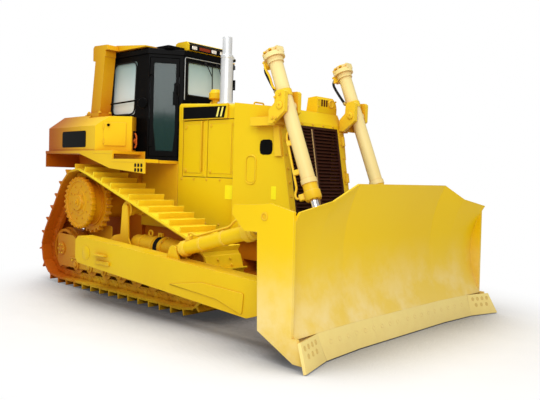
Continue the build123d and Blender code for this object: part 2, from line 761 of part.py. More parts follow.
cab_plan = ((cab_front_x, -cab_front_half), (cab_front_x, cab_front_half),
            (cab_post_x, cab_side_half), (cab_rear_x, cab_side_half),
            (cab_rear_x, -cab_side_half), (cab_post_x, -cab_side_half))
door_span = hypot(cab_front_x - cab_post_x, cab_side_half - cab_front_half)
door_low_z = 1880.0
door_high_z = cab_top_z - 50
door_edge_from_post = 24.0
door_edge_from_front = 56.0
window_high_z = cab_top_z - 75
window_low_z = window_high_z - 735
windshield_low_z = window_high_z - 450
side_window_rear = cab_rear_x + 85
side_window_front = cab_post_x - 255


def doorway(side):
    """A plane on the cab's angled wall: x from the hinge post to the front, z outwards, y up or down."""
    along = ((cab_front_x - cab_post_x) / door_span, side * (cab_front_half - cab_side_half) / door_span)
    outward = (-side * along[1], side * along[0])
    if outward[0] < 0:
        outward = (-outward[0], -outward[1])
    return Plane(origin=(cab_post_x, side * cab_side_half, 0), x_dir=(along[0], along[1], 0),
                 z_dir=(outward[0], outward[1], 0))


def door_slab(side, outline, depth_low, depth_high, mode=Mode.ADD):
    """A closed outline of (distance from the post, height), solid between two depths inside the wall."""
    base = doorway(side)
    up = 1 if base.y_dir.Z > 0 else -1
    plane = Plane(origin=base.origin - base.z_dir * depth_high, x_dir=base.x_dir, z_dir=base.z_dir)
    with BuildSketch(plane) as panel:
        with BuildLine():
            Polyline(*[(along, up * height) for along, height in outline], close=True)
        make_face()
    extrude(panel.sketch, amount=depth_high - depth_low, mode=mode)


hinge_along = 12.0            # door hinge: from the post's corner, and out from the wall
hinge_out = 22.0
hinge_pin = 7.0
knuckle = 14.0
knuckle_half = 45.0
hinge_heights = (door_low_z + 180, door_high_z - 185)


def door_axis(side):
    """Plan position of the door's hinge pin, outside the wall beside the post."""
    base = doorway(side)
    middle = base.origin + base.x_dir * hinge_along + base.z_dir * hinge_out
    return middle.X, middle.Y


def rectangle(left, right, low, high):
    """Four corners of an upright rectangle."""
    return (left, low), (right, low), (right, high), (left, high)


doorway_outline = rectangle(door_edge_from_post - moving_gap, door_span - door_edge_from_front + moving_gap,
                            door_low_z - moving_gap, door_high_z + moving_gap)
door_outline = rectangle(door_edge_from_post, door_span - door_edge_from_front, door_low_z, door_high_z)
door_glass_left = door_edge_from_post + 50
door_glass_right = door_span - door_edge_from_front - 42
# the door's window narrows towards its foot
door_window = ((door_glass_left + 40, door_low_z + 75), (door_glass_right - 25, door_low_z + 75),
               (door_glass_right, door_low_z + 330), (door_glass_right, door_high_z - 65),
               (door_glass_left, door_high_z - 65), (door_glass_left, door_low_z + 420))

# the side window leans with the rear corner: x, z of its corners
side_window = ((side_window_rear, window_low_z), (side_window_front - 40, window_low_z),
               (side_window_front, window_high_z), (side_window_rear + 45, window_high_z))


def window_slab(inset, y_low, y_high, mode=Mode.ADD):
    """The side window's round-cornered outline, this far inside its edge, between two values of y."""
    with BuildSketch(side_plane(y_high)) as outline:
        with BuildLine():
            Polyline(*side_window, close=True)
        make_face()
        fillet(outline.vertices(), radius=48)
        if inset:
            offset(amount=-inset, mode=Mode.REPLACE)
    extrude(outline.sketch, amount=y_high - y_low, mode=mode)


with BuildPart() as cab_shell:
    plan_slab(cab_plan, cab_floor_z, cab_top_z)
    with BuildSketch(Plane.XY.offset(cab_floor_z + 40)) as room:
        with BuildLine():
            Polyline(*cab_plan, close=True)
        make_face()
        offset(amount=-cab_wall, kind=Kind.INTERSECTION, mode=Mode.REPLACE)
    extrude(room.sketch, amount=cab_top_z, mode=Mode.SUBTRACT)
    windshield = rectangle(75 - cab_front_half, cab_front_half - 75, windshield_low_z, window_high_z)
    front_slab(windshield, cab_front_x - cab_wall - 5, cab_front_x + 5, mode=Mode.SUBTRACT)
    rear_window = rectangle(90 - cab_side_half, cab_side_half - 90, window_low_z, window_high_z)
    front_slab(rear_window, cab_rear_x - 5, cab_rear_x + cab_wall + 5, mode=Mode.SUBTRACT)
    window_slab(0, -cab_side_half - 5, cab_side_half + 5, Mode.SUBTRACT)
    for side, _ in sides:
        door_slab(side, doorway_outline, -5, cab_wall + 5, mode=Mode.SUBTRACT)
    # hinge brackets on the posts, with the doors' pins
    for side, _ in sides:
        pin_x, pin_y = door_axis(side)
        for z in hinge_heights:
            post(pin_x, pin_y, hinge_pin, z - knuckle_half - 20, z + knuckle_half + 20)
            for end in (-1, 1):
                low, high = sorted((z + end * (knuckle_half + 1), z + end * (knuckle_half + 31)))
                post(pin_x, pin_y, knuckle, low, high)
                door_slab(side, rectangle(0, hinge_along, low, high), -hinge_out, 5)
save(cab_shell, "cab_shell")

with BuildPart() as cab_roof:
    with BuildSketch(Plane.XY.offset(cab_top_z)) as roof_outline:
        with BuildLine():
            Polyline(*cab_plan, close=True)
        make_face()
        offset(amount=roof_overhang, kind=Kind.INTERSECTION, mode=Mode.REPLACE)
    extrude(roof_outline.sketch, amount=roof_top_z - cab_top_z)
    fillet(cab_roof.faces().sort_by(Axis.Z)[-1].edges(), radius=28)
save(cab_roof, "cab_roof")

with BuildPart() as cab_glass:
    pane = (cab_wall - glass) / 2
    front_slab(rectangle(75 - cab_front_half + fit, cab_front_half - 75 - fit, windshield_low_z + fit,
                         window_high_z - fit), cab_front_x - pane - glass, cab_front_x - pane)
    front_slab(rectangle(90 - cab_side_half + fit, cab_side_half - 90 - fit, window_low_z + fit,
                         window_high_z - fit), cab_rear_x + pane, cab_rear_x + pane + glass)
    for side, _ in sides:
        window_slab(fit, *span(side, cab_side_half - pane - glass, cab_side_half - pane))
save(cab_glass, "cab_glass")

for side, name in sides:
    with BuildPart() as cab_door:
        door_slab(side, door_outline, 0, cab_wall)
        door_slab(side, door_window, -5, cab_wall + 5, mode=Mode.SUBTRACT)
        pin_x, pin_y = door_axis(side)
        for z in hinge_heights:
            low, high = z - knuckle_half, z + knuckle_half
            door_slab(side, rectangle(door_edge_from_post, door_edge_from_post + 45, low, high),
                      -hinge_out - 8, 2)
            door_slab(side, rectangle(hinge_along, door_edge_from_post + 5, low, high),
                      -hinge_out - 8, -hinge_out + 8)
            post(pin_x, pin_y, knuckle, low, high)
            post(pin_x, pin_y, hinge_pin + pin_fit, low - 5, high + 5, mode=Mode.SUBTRACT)
        latch = rectangle(door_glass_right - 35, door_glass_right + 12, 2580, 2760)
        door_slab(side, latch, -22, 5)
    save(cab_door, f"cab_door_{name}")
    with BuildPart() as door_glass:
        door_slab(side, door_window, (cab_wall - glass) / 2, (cab_wall + glass) / 2)
        door_slab(side, rectangle(0, door_span, door_low_z + 75 - 1, door_low_z + 75 + fit), 0, cab_wall,
                  mode=Mode.SUBTRACT)
    save(door_glass, f"door_glass_{name}")

seat_x = -1240.0
cab_deck_z = cab_floor_z + 40.0
with BuildPart() as operator_seat:
    block(seat_x - 190, seat_x + 170, -190, 190, cab_deck_z, cab_deck_z + 300)
    cushion = ((seat_x - 260, cab_deck_z + 300), (seat_x + 260, cab_deck_z + 300),
               (seat_x + 260, cab_deck_z + 400), (seat_x + 200, cab_deck_z + 440),
               (seat_x - 130, cab_deck_z + 410), (seat_x - 220, cab_deck_z + 1050),
               (seat_x - 310, cab_deck_z + 1050), (seat_x - 300, cab_deck_z + 420))
    side_slab(cushion, -250, 250)
save(operator_seat, "operator_seat")

with BuildPart() as cab_controls:
    dash = ((cab_front_x - cab_wall, cab_deck_z), (cab_front_x - cab_wall, cab_deck_z + 760),
            (cab_front_x - cab_wall - 60, cab_deck_z + 790), (cab_front_x - cab_wall - 130, cab_deck_z + 700),
            (cab_front_x - cab_wall - 100, cab_deck_z))
    side_slab(dash, -300, 300)
    for side, _ in sides:
        low, high = span(side, 330, 450)
        block(seat_x - 180, seat_x + 260, low, high, cab_deck_z, cab_deck_z + 560)
        post(seat_x + 200, side * 390, 14, cab_deck_z + 550, cab_deck_z + 690)
        with Locations((seat_x + 200, side * 390, cab_deck_z + 700)):
            Sphere(28)
save(cab_controls, "cab_controls")

with BuildPart() as cab_platform:
    half = cab_side_half + 10
    plate = cab_floor_z - 40
    block(cab_rear_x - 20, cab_front_x + 15, -half, half, plate, cab_floor_z)
    for side, _ in sides:
        for x in (cab_rear_x + 60, case_front_x - 120):
            post(x, side * 350, 60, case_top_z, plate + 5)
        # closed wall under the cab
        low, high = span(side, hood_half - 32, hood_half - 2)
        block(case_front_x + 10, hood_rear_x - 4, low, high, rail_top_z, plate + 5)
    # bulkhead behind the engine
    block(cab_front_x - 5, cab_front_x + 30, -hood_half + 20, hood_half - 20, rail_top_z, plate + 5)
save(cab_platform, "cab_platform")

air_box_top_z = rops_top_z + 35
with BuildPart() as roof_air_box:
    box = ((cab_front_x - 260, roof_top_z + fit), (cab_front_x - 250, air_box_top_z - 20),
           (cab_front_x - 200, air_box_top_z), (cab_front_x - 20, air_box_top_z),
           (cab_front_x + 24, air_box_top_z - 45), (cab_front_x + 24, roof_top_z + 10),
           (cab_front_x - 10, roof_top_z + fit))
    side_slab(box, -360, 360)
save(roof_air_box, "roof_air_box")

# ---------------------------------------------------------------- roll-over frame, tank, fenders

side_box_top_z = tank_top_z - 40
beam_z = roof_top_z + 15
with BuildPart() as rops_frame:
    for side, _ in sides:
        low, high = span(side, rops_inner_y, rops_outer_y)
        leg_top_z = rops_top_z - 100
        leg = ((rops_foot_x, tank_top_z + 30), (rops_foot_x + rops_depth, tank_top_z + 30),
               (rops_foot_x + rops_depth + rops_lean, leg_top_z), (rops_foot_x + rops_lean, leg_top_z))
        side_slab(leg, low, high)
        foot_low, foot_high = span(side, rops_inner_y - 6, rops_outer_y + 40)
        block(rops_foot_x - 40, rops_foot_x + rops_depth + 30, foot_low, foot_high, tank_top_z + fit,
              tank_top_z + 32)
        block(tank_front_x + 12, rops_foot_x + rops_depth + 30, foot_low, foot_high,
              side_box_top_z + fit, tank_top_z + 5)
        # deep end of the cross beam
        end = ((rops_foot_x + rops_lean - 75, rops_top_z - 210),
               (rops_foot_x + rops_lean - 10, rops_top_z - 225),
               (rops_foot_x + rops_lean + rops_depth, rops_top_z - 170),
               (rops_foot_x + rops_lean + rops_depth, beam_z + 5),
               (rops_foot_x + rops_lean - 75, beam_z + 5))
        side_slab(end, low, high)
    # cross beam with a plate that runs forwards over the roof: x, z going round
    plate_x = cab_post_x - 20
    beam = ((rops_foot_x + rops_lean - 75, beam_z), (plate_x, beam_z), (plate_x, beam_z + 16),
            (rops_foot_x + rops_lean + rops_depth + 40, rops_top_z),
            (rops_foot_x + rops_lean - 45, rops_top_z), (rops_foot_x + rops_lean - 75, rops_top_z - 30))
    side_slab(beam, -rops_inner_y - 1, rops_inner_y + 1)
    for side, _ in sides:
        low, high = span(side, rops_inner_y, rops_outer_y)
        cap = ((rops_foot_x + rops_lean - 75, beam_z),
               (rops_foot_x + rops_lean + rops_depth + 60, beam_z),
               (rops_foot_x + rops_lean + rops_depth + 40, rops_top_z - 12),
               (rops_foot_x + rops_lean - 45, rops_top_z),
               (rops_foot_x + rops_lean - 75, rops_top_z - 30))
        side_slab(cap, low, high)
save(rops_frame, "rops_frame")

tank_rear_half = 1140.0
ridge_x = rear_x + 1450       # where the rear body's side turns in towards the cab
ridge_half = 1250.0
box_front_x = rear_x + 1880
box_front_half = 955.0
tank_side_slope = (ridge_half - tank_rear_half) / (ridge_x - rear_x)
tank_front_half = tank_rear_half + (tank_front_x - rear_x) * tank_side_slope
with BuildPart() as fuel_tank:
    plan_slab(((rear_x, -tank_rear_half), (rear_x, tank_rear_half), (tank_front_x - 2, tank_front_half),
               (tank_front_x - 2, -tank_front_half)), tank_floor_z, tank_top_z)
    rim = [edge for edge in fuel_tank.faces().sort_by(Axis.Z)[-1].edges()
           if edge.center().X < tank_front_x - 20]
    chamfer(rim, length=tank_bevel)
save(fuel_tank, "fuel_tank")

with BuildPart() as side_boxes:
    inner = cab_side_half + 30
    for side, _ in sides:
        plan_slab(((tank_front_x, side * inner), (tank_front_x, side * tank_front_half),
                   (ridge_x, side * ridge_half), (box_front_x, side * box_front_half),
                   (box_front_x - 95, side * inner)), tank_floor_z, side_box_top_z)
    # the bevel runs on from the tank as far as the ridge
    for top in side_boxes.faces().filter_by(Axis.Z).group_by(Axis.Z)[-1]:
        rim = [edge for edge in top.edges()
               if abs(edge.center().Y) > tank_front_half and edge.center().X < ridge_x]
        chamfer(rim, length=tank_bevel - (tank_top_z - side_box_top_z))
save(side_boxes, "side_boxes")

with BuildPart() as fenders:
    for side, _ in sides:
        top = 40
        inner = cab_side_half + 12
        step_x = box_front_x + 10
        plan_slab(((rear_x + 5, side * inner), (rear_x + 5, side * (tank_rear_half + 55)),
                   (ridge_x, side * fender_outer_y), (step_x, side * fender_outer_y),
                   (step_x, side * inner)), tank_floor_z - top, tank_floor_z)
        low, high = span(side, fender_inner_y, cab_side_half + 20)
        block(rear_x + 5, cab_rear_x - 25, low, high, tank_floor_z - top, tank_floor_z)
        low, high = span(side, inner, fender_outer_y)
        block(box_front_x, cab_front_x, low, high, cab_floor_z - top, cab_floor_z)
        low, high = span(side, 1050, fender_outer_y)
        block(cab_front_x - 5, fender_front_x, low, high, cab_floor_z - top, cab_floor_z)
        # outer skirt: x, z going round
        skirt = ((ridge_x - 320, tank_floor_z), (step_x, tank_floor_z), (step_x, cab_floor_z),
                 (fender_front_x, cab_floor_z), (fender_front_x, cab_floor_z - 180),
                 (ridge_x + 380, cab_floor_z - 125), (ridge_x - 380, tank_floor_z - top))
        skirt_low, skirt_high = span(side, fender_outer_y - 26, fender_outer_y - 2)
        side_slab(skirt, skirt_low, skirt_high)
        # rear skirt, with an inner wall that slopes up to the outer one
        low, high = span(side, fender_inner_y, tank_rear_half + 50)
        block(rear_x + 5, rear_x + 25, low, high, tank_floor_z - 240, tank_floor_z - top + 5)
        # bracket on the rear case
        low, high = span(side, case_half_width, fender_inner_y + 60)
        block(cab_rear_x + 60, case_front_x, low, high, case_top_z - 60, cab_floor_z - 41)
        block(case_rear_x + 150, cab_rear_x - 25, low, high, case_top_z - 60, tank_floor_z - 5)
save(fenders, "fenders")

# ---------------------------------------------------------------- push arms


def arm_top_z(x):
    """Height of the push arm's top at this x."""
    share = (x - arm_rear_x) / (arm_front_x - arm_rear_x)
    return arm_rear_top + (arm_front_top - arm_rear_top) * share


tilt_y = ball_y
lug_half_gap = 40.0
lug_plate = 26.0
for side, name in sides:
    with BuildPart() as push_arm:
        outline = ((arm_rear_x, arm_rear_bottom + 60), (arm_rear_x, arm_rear_top - 60),
                   (arm_rear_x + 60, arm_rear_top), (arm_front_x - 80, arm_front_top),
                   (arm_front_x, arm_front_top - 70), (arm_front_x, arm_front_bottom + 90),
                   (arm_front_x - 260, arm_front_bottom), (arm_rear_x + 60, arm_rear_bottom))
        side_slab(outline, *span(side, arm_inner_y, arm_outer_y))
        cross_bar(trunnion_x, trunnion_z, trunnion_radius + 65, *span(side, arm_boss_y, arm_outer_y - 20))
        cross_bar(trunnion_x, trunnion_z, trunnion_radius + pin_fit,
                  *span(side, arm_boss_y - 5, arm_outer_y + 5), mode=Mode.SUBTRACT)
        long_bar(side * ball_y, ball_z, ball_neck, arm_front_x - 20, ball_x)
        with Locations((ball_x, side * ball_y, ball_z)):
            Sphere(ball_radius)
        # lugs that hold the rear end of the tilt cylinder or brace
        foot_z = arm_top_z(tilt_rear_x) - 40
        lug = ((tilt_rear_x - 120, foot_z), (tilt_rear_x - 55, tilt_rear_z + 40),
               (tilt_rear_x - 20, tilt_rear_z + 60), (tilt_rear_x + 20, tilt_rear_z + 60),
               (tilt_rear_x + 55, tilt_rear_z + 40), (tilt_rear_x + 120, foot_z))
        for wall in (-1, 1):
            low, high = sorted((tilt_y + wall * lug_half_gap, tilt_y + wall * (lug_half_gap + lug_plate)))
            side_slab(lug, *span(side, low, high))
        cross_bar(tilt_rear_x, tilt_rear_z, 24, *span(side, tilt_y - lug_half_gap - 5,
                                                      tilt_y + lug_half_gap + 5))
        with Locations((tilt_rear_x, side * tilt_y, tilt_rear_z)):
            Sphere(44)
        # tread plate
        block(-820, -560, *span(side, arm_outer_y - 5, arm_outer_y + 60), 600, 615)
    save(push_arm, f"push_arm_{name}")

# ---------------------------------------------------------------- blade


def advance(y):
    """How far a wing stands ahead of the middle at this y."""
    return wing_advance * max(0.0, abs(y) - fold_y) / (bit_inner_low_y - fold_y)


wing_y = end_plate_y - end_plate + 2
# half width, height of the top edge there
stations = ((wing_y, top_end_z), (kink_y, top_kink_z), (fold_y, top_middle_z))
blade_stations = [(-y, z) for y, z in stations] + [(y, z) for y, z in reversed(stations)]


def face_arc(y, top_z, setback):
    """Bottom, middle and top points of the blade's hollow face at this y, set back in x."""
    low = (mold_low_x + advance(y) - setback, mold_low_z)
    top = (edge_x + advance(y) - setback, top_z)
    run = (top[0] - low[0], top[1] - low[1])
    size = hypot(*run)
    middle = ((low[0] + top[0]) / 2 - run[1] / size * mold_depth,
              (low[1] + top[1]) / 2 + run[0] / size * mold_depth)
    return low, middle, top


def curved_loft(front_back):
    """Ruled loft across the blade between two setbacks, or out to a fixed x in front."""
    faces = []
    for y, top_z in blade_stations:
        low, middle, top = face_arc(y, top_z, front_back[0])
        with BuildSketch(Plane(origin=(0, y, 0), x_dir=(1, 0, 0), z_dir=(0, -1, 0)),
                         mode=Mode.PRIVATE) as section:
            with BuildLine():
                ThreePointArc(low, middle, top)
                if len(front_back) == 2:
                    low_b, middle_b, top_b = face_arc(y, top_z, front_back[1])
                    Line(top, top_b)
                    ThreePointArc(top_b, middle_b, low_b)
                    Line(low_b, low)
                else:
                    Polyline(top, (front_x + 300, top[1]), (front_x + 300, low[1]), low)
            make_face()
        faces.append(section.sketch.faces()[0])
    return faces


edge_lean = edge_drop_x / (mold_low_z - edge_floor_z)


def strip_loft(stations_y, top_z, bottom_z, near, far, end_shift=0.0):
    """Ruled loft of a leaning flat strip; near and far are setbacks from the blade's lower face."""
    faces = []
    for y in stations_y:
        low_shift = -end_shift if abs(y) > kink_y else 0.0
        shift_y = low_shift if y > 0 else -low_shift
        base = mold_low_x + advance(y)
        lean_top = (mold_low_z - top_z) * edge_lean
        lean_low = (mold_low_z - bottom_z) * edge_lean
        points = ((base - far + lean_top, y, top_z), (base - near + lean_top, y, top_z),
                  (base - near + lean_low, y + shift_y, bottom_z),
                  (base - far + lean_low, y + shift_y, bottom_z))
        faces.append(Face(Wire.make_polygon([Vector(*p) for p in points], close=True)))
    return faces


bit_gap = 2.0
bit_inner_top = Vector(mold_low_x + advance(bit_inner_top_y) + bit_gap, bit_inner_top_y + bit_gap,
                       mold_low_z)
bit_inner_low = Vector(mold_low_x + advance(bit_inner_low_y) + edge_drop_x + bit_gap,
                       bit_inner_low_y + bit_gap, edge_floor_z)
bit_outer_low = Vector(front_x, bit_outer_low_y, edge_floor_z)
bit_along = bit_outer_low - bit_inner_low
bit_outer_top = bit_inner_top + bit_along * ((bit_outer_top_y - bit_inner_top_y)
                                             / (bit_outer_low_y - bit_inner_low_y))
bit_back = (bit_inner_top - bit_inner_low).cross(bit_along).normalized()
if bit_back.X > 0:
    bit_back = -bit_back


def bit_back_x(y, z):
    """X of the rear face of an end bit at this y and height."""
    start = bit_inner_top + bit_back * edge_thickness
    return start.X - (bit_back.Y * (y - start.Y) + bit_back.Z * (z - start.Z)) / bit_back.X


inside_x = edge_x + 50        # within the curve, cut back to the moldboard
blade_rear_x = edge_x - 360
shelf_low_z = tilt_eye_z - 85
shelf_high_z = tilt_eye_z + 75
with BuildPart() as blade:
    # back structure, cut off inside the moldboard's thickness
    block(blade_rear_x, inside_x, -wing_y, wing_y, shelf_low_z, shelf_high_z)
    block(edge_x - 210, inside_x, -wing_y, wing_y, 150, 340)
    for side, _ in sides:
        for y in (300, 1100, 1700):
            low, high = span(side, y - 13, y + 13)
            block(edge_x - 300, inside_x, low, high, 155, shelf_high_z - 5)
        # ball socket
        block(ball_x - 45, inside_x, *span(side, ball_y - socket_half, ball_y + socket_half),
              ball_z - socket_half, ball_z + socket_half)
        # lift lugs
        for wall in (-1, 1):
            low, high = sorted((lift_y + wall * 76, lift_y + wall * 106))
            lug = ((lift_eye_x - 40, lift_eye_z - 80), (lift_eye_x - 70, lift_eye_z - 40),
                   (lift_eye_x - 70, lift_eye_z + 40), (lift_eye_x - 40, lift_eye_z + 80),
                   (inside_x, lift_eye_z + 170), (inside_x, lift_eye_z - 170))
            side_slab(lug, *span(side, low, high))
            low, high = sorted((lift_y + wall * 105, lift_y + wall * 122))
            cross_bar(lift_eye_x, lift_eye_z, 46, *span(side, low, high))
    curved = curved_loft((moldboard / 2,))
    loft(curved, ruled=True, mode=Mode.SUBTRACT)
    block(mold_low_x - 44, front_x + 400, -end_plate_y - 10, end_plate_y + 10, -50, mold_low_z + 1,
          mode=Mode.SUBTRACT)
    # moldboard and the strip behind the cutting edge
    loft(curved_loft((0, moldboard)), ruled=True)
    for ends in ((-wing_y, -fold_y), (-fold_y, fold_y), (fold_y, wing_y)):
        loft(strip_loft(ends, mold_low_z + 6, 105, edge_thickness, edge_thickness + 28), ruled=True)
    for side, _ in sides:
        # end plates with their rear ears and forward toes
        plate = ((edge_x - 745, 1294), (edge_x - 752, 1345), (edge_x - 725, 1389), (edge_x - 430, 1402),
                 (edge_x - 270, 1420), (edge_x + advance(wing_y) - 55, top_end_z),
                 (edge_x + advance(wing_y) - 40, mold_low_z + 12),
                 (bit_back_x(end_plate_y - end_plate, mold_low_z) - fit, mold_low_z + 12),
                 (bit_back_x(end_plate_y - end_plate, mold_low_z) - fit, mold_low_z),
                 (bit_back_x(end_plate_y - end_plate, 45) - fit, 45),
                 (edge_x + 50, 45), (edge_x - 383, 259), (edge_x - 420, 1153), (edge_x - 585, 1150))
        side_slab(plate, *span(side, end_plate_y - end_plate, end_plate_y))
        # tilt cylinder's or brace's lugs
        for wall in (-1, 1):
            low, high = sorted((tilt_y + wall * 68, tilt_y + wall * 94))
            lug = ((tilt_eye_x - 50, tilt_eye_z - 30), (tilt_eye_x - 50, tilt_eye_z + 30),
                   (tilt_eye_x - 20, tilt_eye_z + 60), (blade_rear_x + 20, shelf_high_z - 2),
                   (blade_rear_x + 20, shelf_low_z + 2),
                   (tilt_eye_x - 20, tilt_eye_z - 60))
            side_slab(lug, *span(side, low, high))
            low, high = sorted((tilt_y + wall * 93, tilt_y + wall * 108))
            cross_bar(tilt_eye_x, tilt_eye_z, 36, *span(side, low, high))
        play = pin_fit if side > 0 else ball_play
        with Locations((ball_x, side * ball_y, ball_z)):
            Sphere(ball_radius + play, mode=Mode.SUBTRACT)
        long_bar(side * ball_y, ball_z, ball_radius - 10 + play, ball_x - 60, ball_x, mode=Mode.SUBTRACT)
save(blade, "blade")

seam_y = 555.0
with BuildPart() as cutting_edge:
    loft(strip_loft((-seam_y + 1, seam_y - 1), mold_low_z, edge_floor_z, 0, edge_thickness), ruled=True)
    for side, _ in sides:
        near = [side * seam_y, side * fold_y]
        loft(strip_loft(sorted(near), mold_low_z, edge_floor_z, 0, edge_thickness), ruled=True)
        far = [side * fold_y, side * bit_inner_top_y]
        loft(strip_loft(sorted(far), mold_low_z, edge_floor_z, 0, edge_thickness,
                        bit_inner_top_y - bit_inner_low_y), ruled=True)
save(cutting_edge, "cutting_edge")

with BuildPart() as end_bits:
    for side, _ in sides:
        corners = [Vector(p.X, side * p.Y, p.Z)
                   for p in (bit_inner_top, bit_inner_low, bit_outer_low, bit_outer_top)]
        back = Vector(bit_back.X, side * bit_back.Y, bit_back.Z)
        extrude(Face(Wire.make_polygon(corners, close=True)), amount=edge_thickness, dir=back)
save(end_bits, "end_bits")

# ---------------------------------------------------------------- lift cylinders

lift_reach = hypot(lift_eye_x - yoke_x, yoke_z - lift_eye_z)
lift_direction = ((lift_eye_x - yoke_x) / lift_reach, 0, (lift_eye_z - yoke_z) / lift_reach)


def axis_plane(origin, direction, distance=0.0):
    """A plane square to a line, this far along it. Local x is Y."""
    start = Vector(*origin) + Vector(*direction) * distance
    return Plane(origin=start, x_dir=(0, 1, 0), z_dir=direction)


def axis_rod(origin, direction, radius, start, end, mode=Mode.ADD):
    """A round bar or bore between two distances along a line."""
    with BuildSketch(axis_plane(origin, direction, start)) as ring:
        Circle(radius)
    extrude(ring.sketch, amount=end - start, mode=mode)


for side, name in sides:
    yoke = (yoke_x, side * lift_y, yoke_z)
    with BuildPart() as lift_barrel:
        axis_rod(yoke, lift_direction, barrel_radius, -barrel_above + 20, barrel_below - 40)
        axis_rod(yoke, lift_direction, barrel_radius + 10, barrel_below - 55, barrel_below)
        # head with its flange and a valve block
        axis_rod(yoke, lift_direction, barrel_radius + 42, -barrel_above, -barrel_above + 52)
        axis_rod(yoke, lift_direction, barrel_radius + 14, -barrel_above + 50, -barrel_above + 110)
        axis_rod(yoke, lift_direction, barrel_radius + 8, -barrel_above - 55, -barrel_above + 5)
        with Locations(axis_plane(yoke, lift_direction, -barrel_above - 20)):
            Box(110, 236, 62)
        cross_bar(yoke_x, yoke_z, lift_trunnion_radius, *span(side, lift_y - 138, lift_y + 138))
        cross_bar(yoke_x, yoke_z, lift_trunnion_radius + 20, *span(side, lift_y - 84, lift_y + 84))
        axis_rod(yoke, lift_direction, barrel_bore, -barrel_above + 80, barrel_below - 60,
                 mode=Mode.SUBTRACT)
        axis_rod(yoke, lift_direction, rod_radius + pin_fit, barrel_below - 70, barrel_below + 5,
                 mode=Mode.SUBTRACT)
    save(lift_barrel, f"lift_barrel_{name}")
    with BuildPart() as lift_rod:
        axis_rod(yoke, lift_direction, rod_radius, lift_reach - lift_rod_length + 10, lift_reach)
        axis_rod(yoke, lift_direction, barrel_bore - pin_fit, lift_reach - lift_rod_length,
                 lift_reach - lift_rod_length + 80)
        cross_bar(lift_eye_x, lift_eye_z, 75, *span(side, lift_y - 40, lift_y + 40))
    save(lift_rod, f"lift_rod_{name}")

yoke_plate_x = guard_brow_x + 15    # behind the yokes, just ahead of the guard's brow
with BuildPart() as lift_yokes:
    for side, _ in sides:
        # tall cheeks beside the trunnion: x, z going round
        cheek = ((yoke_plate_x, yoke_z - 190), (yoke_plate_x + 60, yoke_z - 195),
                 (yoke_x + 72, yoke_z - 65), (yoke_x + 72, yoke_z + 150), (yoke_x + 50, yoke_z + 170),
                 (yoke_x - 45, yoke_z + 170), (yoke_x - 72, yoke_z + 140), (yoke_x - 80, yoke_z + 30),
                 (yoke_plate_x, yoke_z - 45))
        for low, high in ((lift_y - 142, lift_y - 88), (lift_y + 88, lift_y + 142)):
            side_slab(cheek, *span(side, low, high))
        block(yoke_plate_x, yoke_plate_x + 55, *span(side, lift_y - 100, lift_y + 100), yoke_z - 190,
              yoke_z - 50)
        block(guard_nose_x - 290, yoke_plate_x + 5, *span(side, guard_half, guard_half + 110),
              yoke_z - 205, yoke_z - 105)
        # bracket down the guard's corner, with ribs
        bracket = ((guard_nose_x - 10, yoke_z - 110), (guard_brow_x - 5, yoke_z - 110),
                   (guard_front_x(yoke_z - 550) - 15, yoke_z - 550),
                   (guard_front_x(yoke_z - 550) - 115, yoke_z - 550))
        side_slab(bracket, *span(side, guard_half, guard_half + 34))
        cross_bar(yoke_x, yoke_z, lift_trunnion_radius + pin_fit, *span(side, lift_y - 145, lift_y + 145),
                  mode=Mode.SUBTRACT)
save(lift_yokes, "lift_yokes")

# ---------------------------------------------------------------- tilt cylinder and brace

tilt_reach = hypot(tilt_eye_x - tilt_rear_x, tilt_eye_z - tilt_rear_z)
tilt_direction = ((tilt_eye_x - tilt_rear_x) / tilt_reach, 0, (tilt_eye_z - tilt_rear_z) / tilt_reach)
tilt_barrel_length = tilt_reach - 365
eye_half = 32.0
right_pin = (tilt_rear_x, -tilt_y, tilt_rear_z)
with BuildPart() as tilt_barrel:
    cross_bar(tilt_rear_x, tilt_rear_z, 66, *span(-1, tilt_y - eye_half, tilt_y + eye_half))
    axis_rod(right_pin, tilt_direction, 30, 45, 120)
    axis_rod(right_pin, tilt_direction, tilt_radius, 110, tilt_barrel_length)
    axis_rod(right_pin, tilt_direction, tilt_radius + 10, tilt_barrel_length - 50, tilt_barrel_length)
    axis_rod(right_pin, tilt_direction, tilt_bore, 150, tilt_barrel_length - 60, mode=Mode.SUBTRACT)
    axis_rod(right_pin, tilt_direction, tilt_rod + pin_fit, tilt_barrel_length - 70,
             tilt_barrel_length + 5, mode=Mode.SUBTRACT)
    with Locations(right_pin):
        Sphere(44 + fit, mode=Mode.SUBTRACT)
save(tilt_barrel, "tilt_barrel")

with BuildPart() as tilt_piston_rod:
    piston = tilt_barrel_length - 650
    axis_rod(right_pin, tilt_direction, tilt_rod, piston + 10, tilt_reach)
    axis_rod(right_pin, tilt_direction, tilt_bore - pin_fit, piston, piston + 80)
    cross_bar(tilt_eye_x, tilt_eye_z, 60, *span(-1, tilt_y - eye_half, tilt_y + eye_half))
save(tilt_piston_rod, "tilt_rod")

left_pin = (tilt_rear_x, tilt_y, tilt_rear_z)
with BuildPart() as tilt_brace:
    cross_bar(tilt_rear_x, tilt_rear_z, 66, *span(1, tilt_y - eye_half, tilt_y + eye_half))
    axis_rod(left_pin, tilt_direction, 30, 45, 130)
    axis_rod(left_pin, tilt_direction, brace_radius, 110, tilt_reach - 110)
    axis_rod(left_pin, tilt_direction, 34, tilt_reach - 130, tilt_reach)
    cross_bar(tilt_eye_x, tilt_eye_z, 60, *span(1, tilt_y - eye_half, tilt_y + eye_half))
    with Locations(left_pin):
        Sphere(44 + fit, mode=Mode.SUBTRACT)
save(tilt_brace, "tilt_brace")
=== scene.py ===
"""Looks of a high-drive crawler bulldozer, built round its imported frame. Metres, +X forwards."""

import math

import bmesh
import bpy
import numpy as np
from mathutils import Matrix, Vector


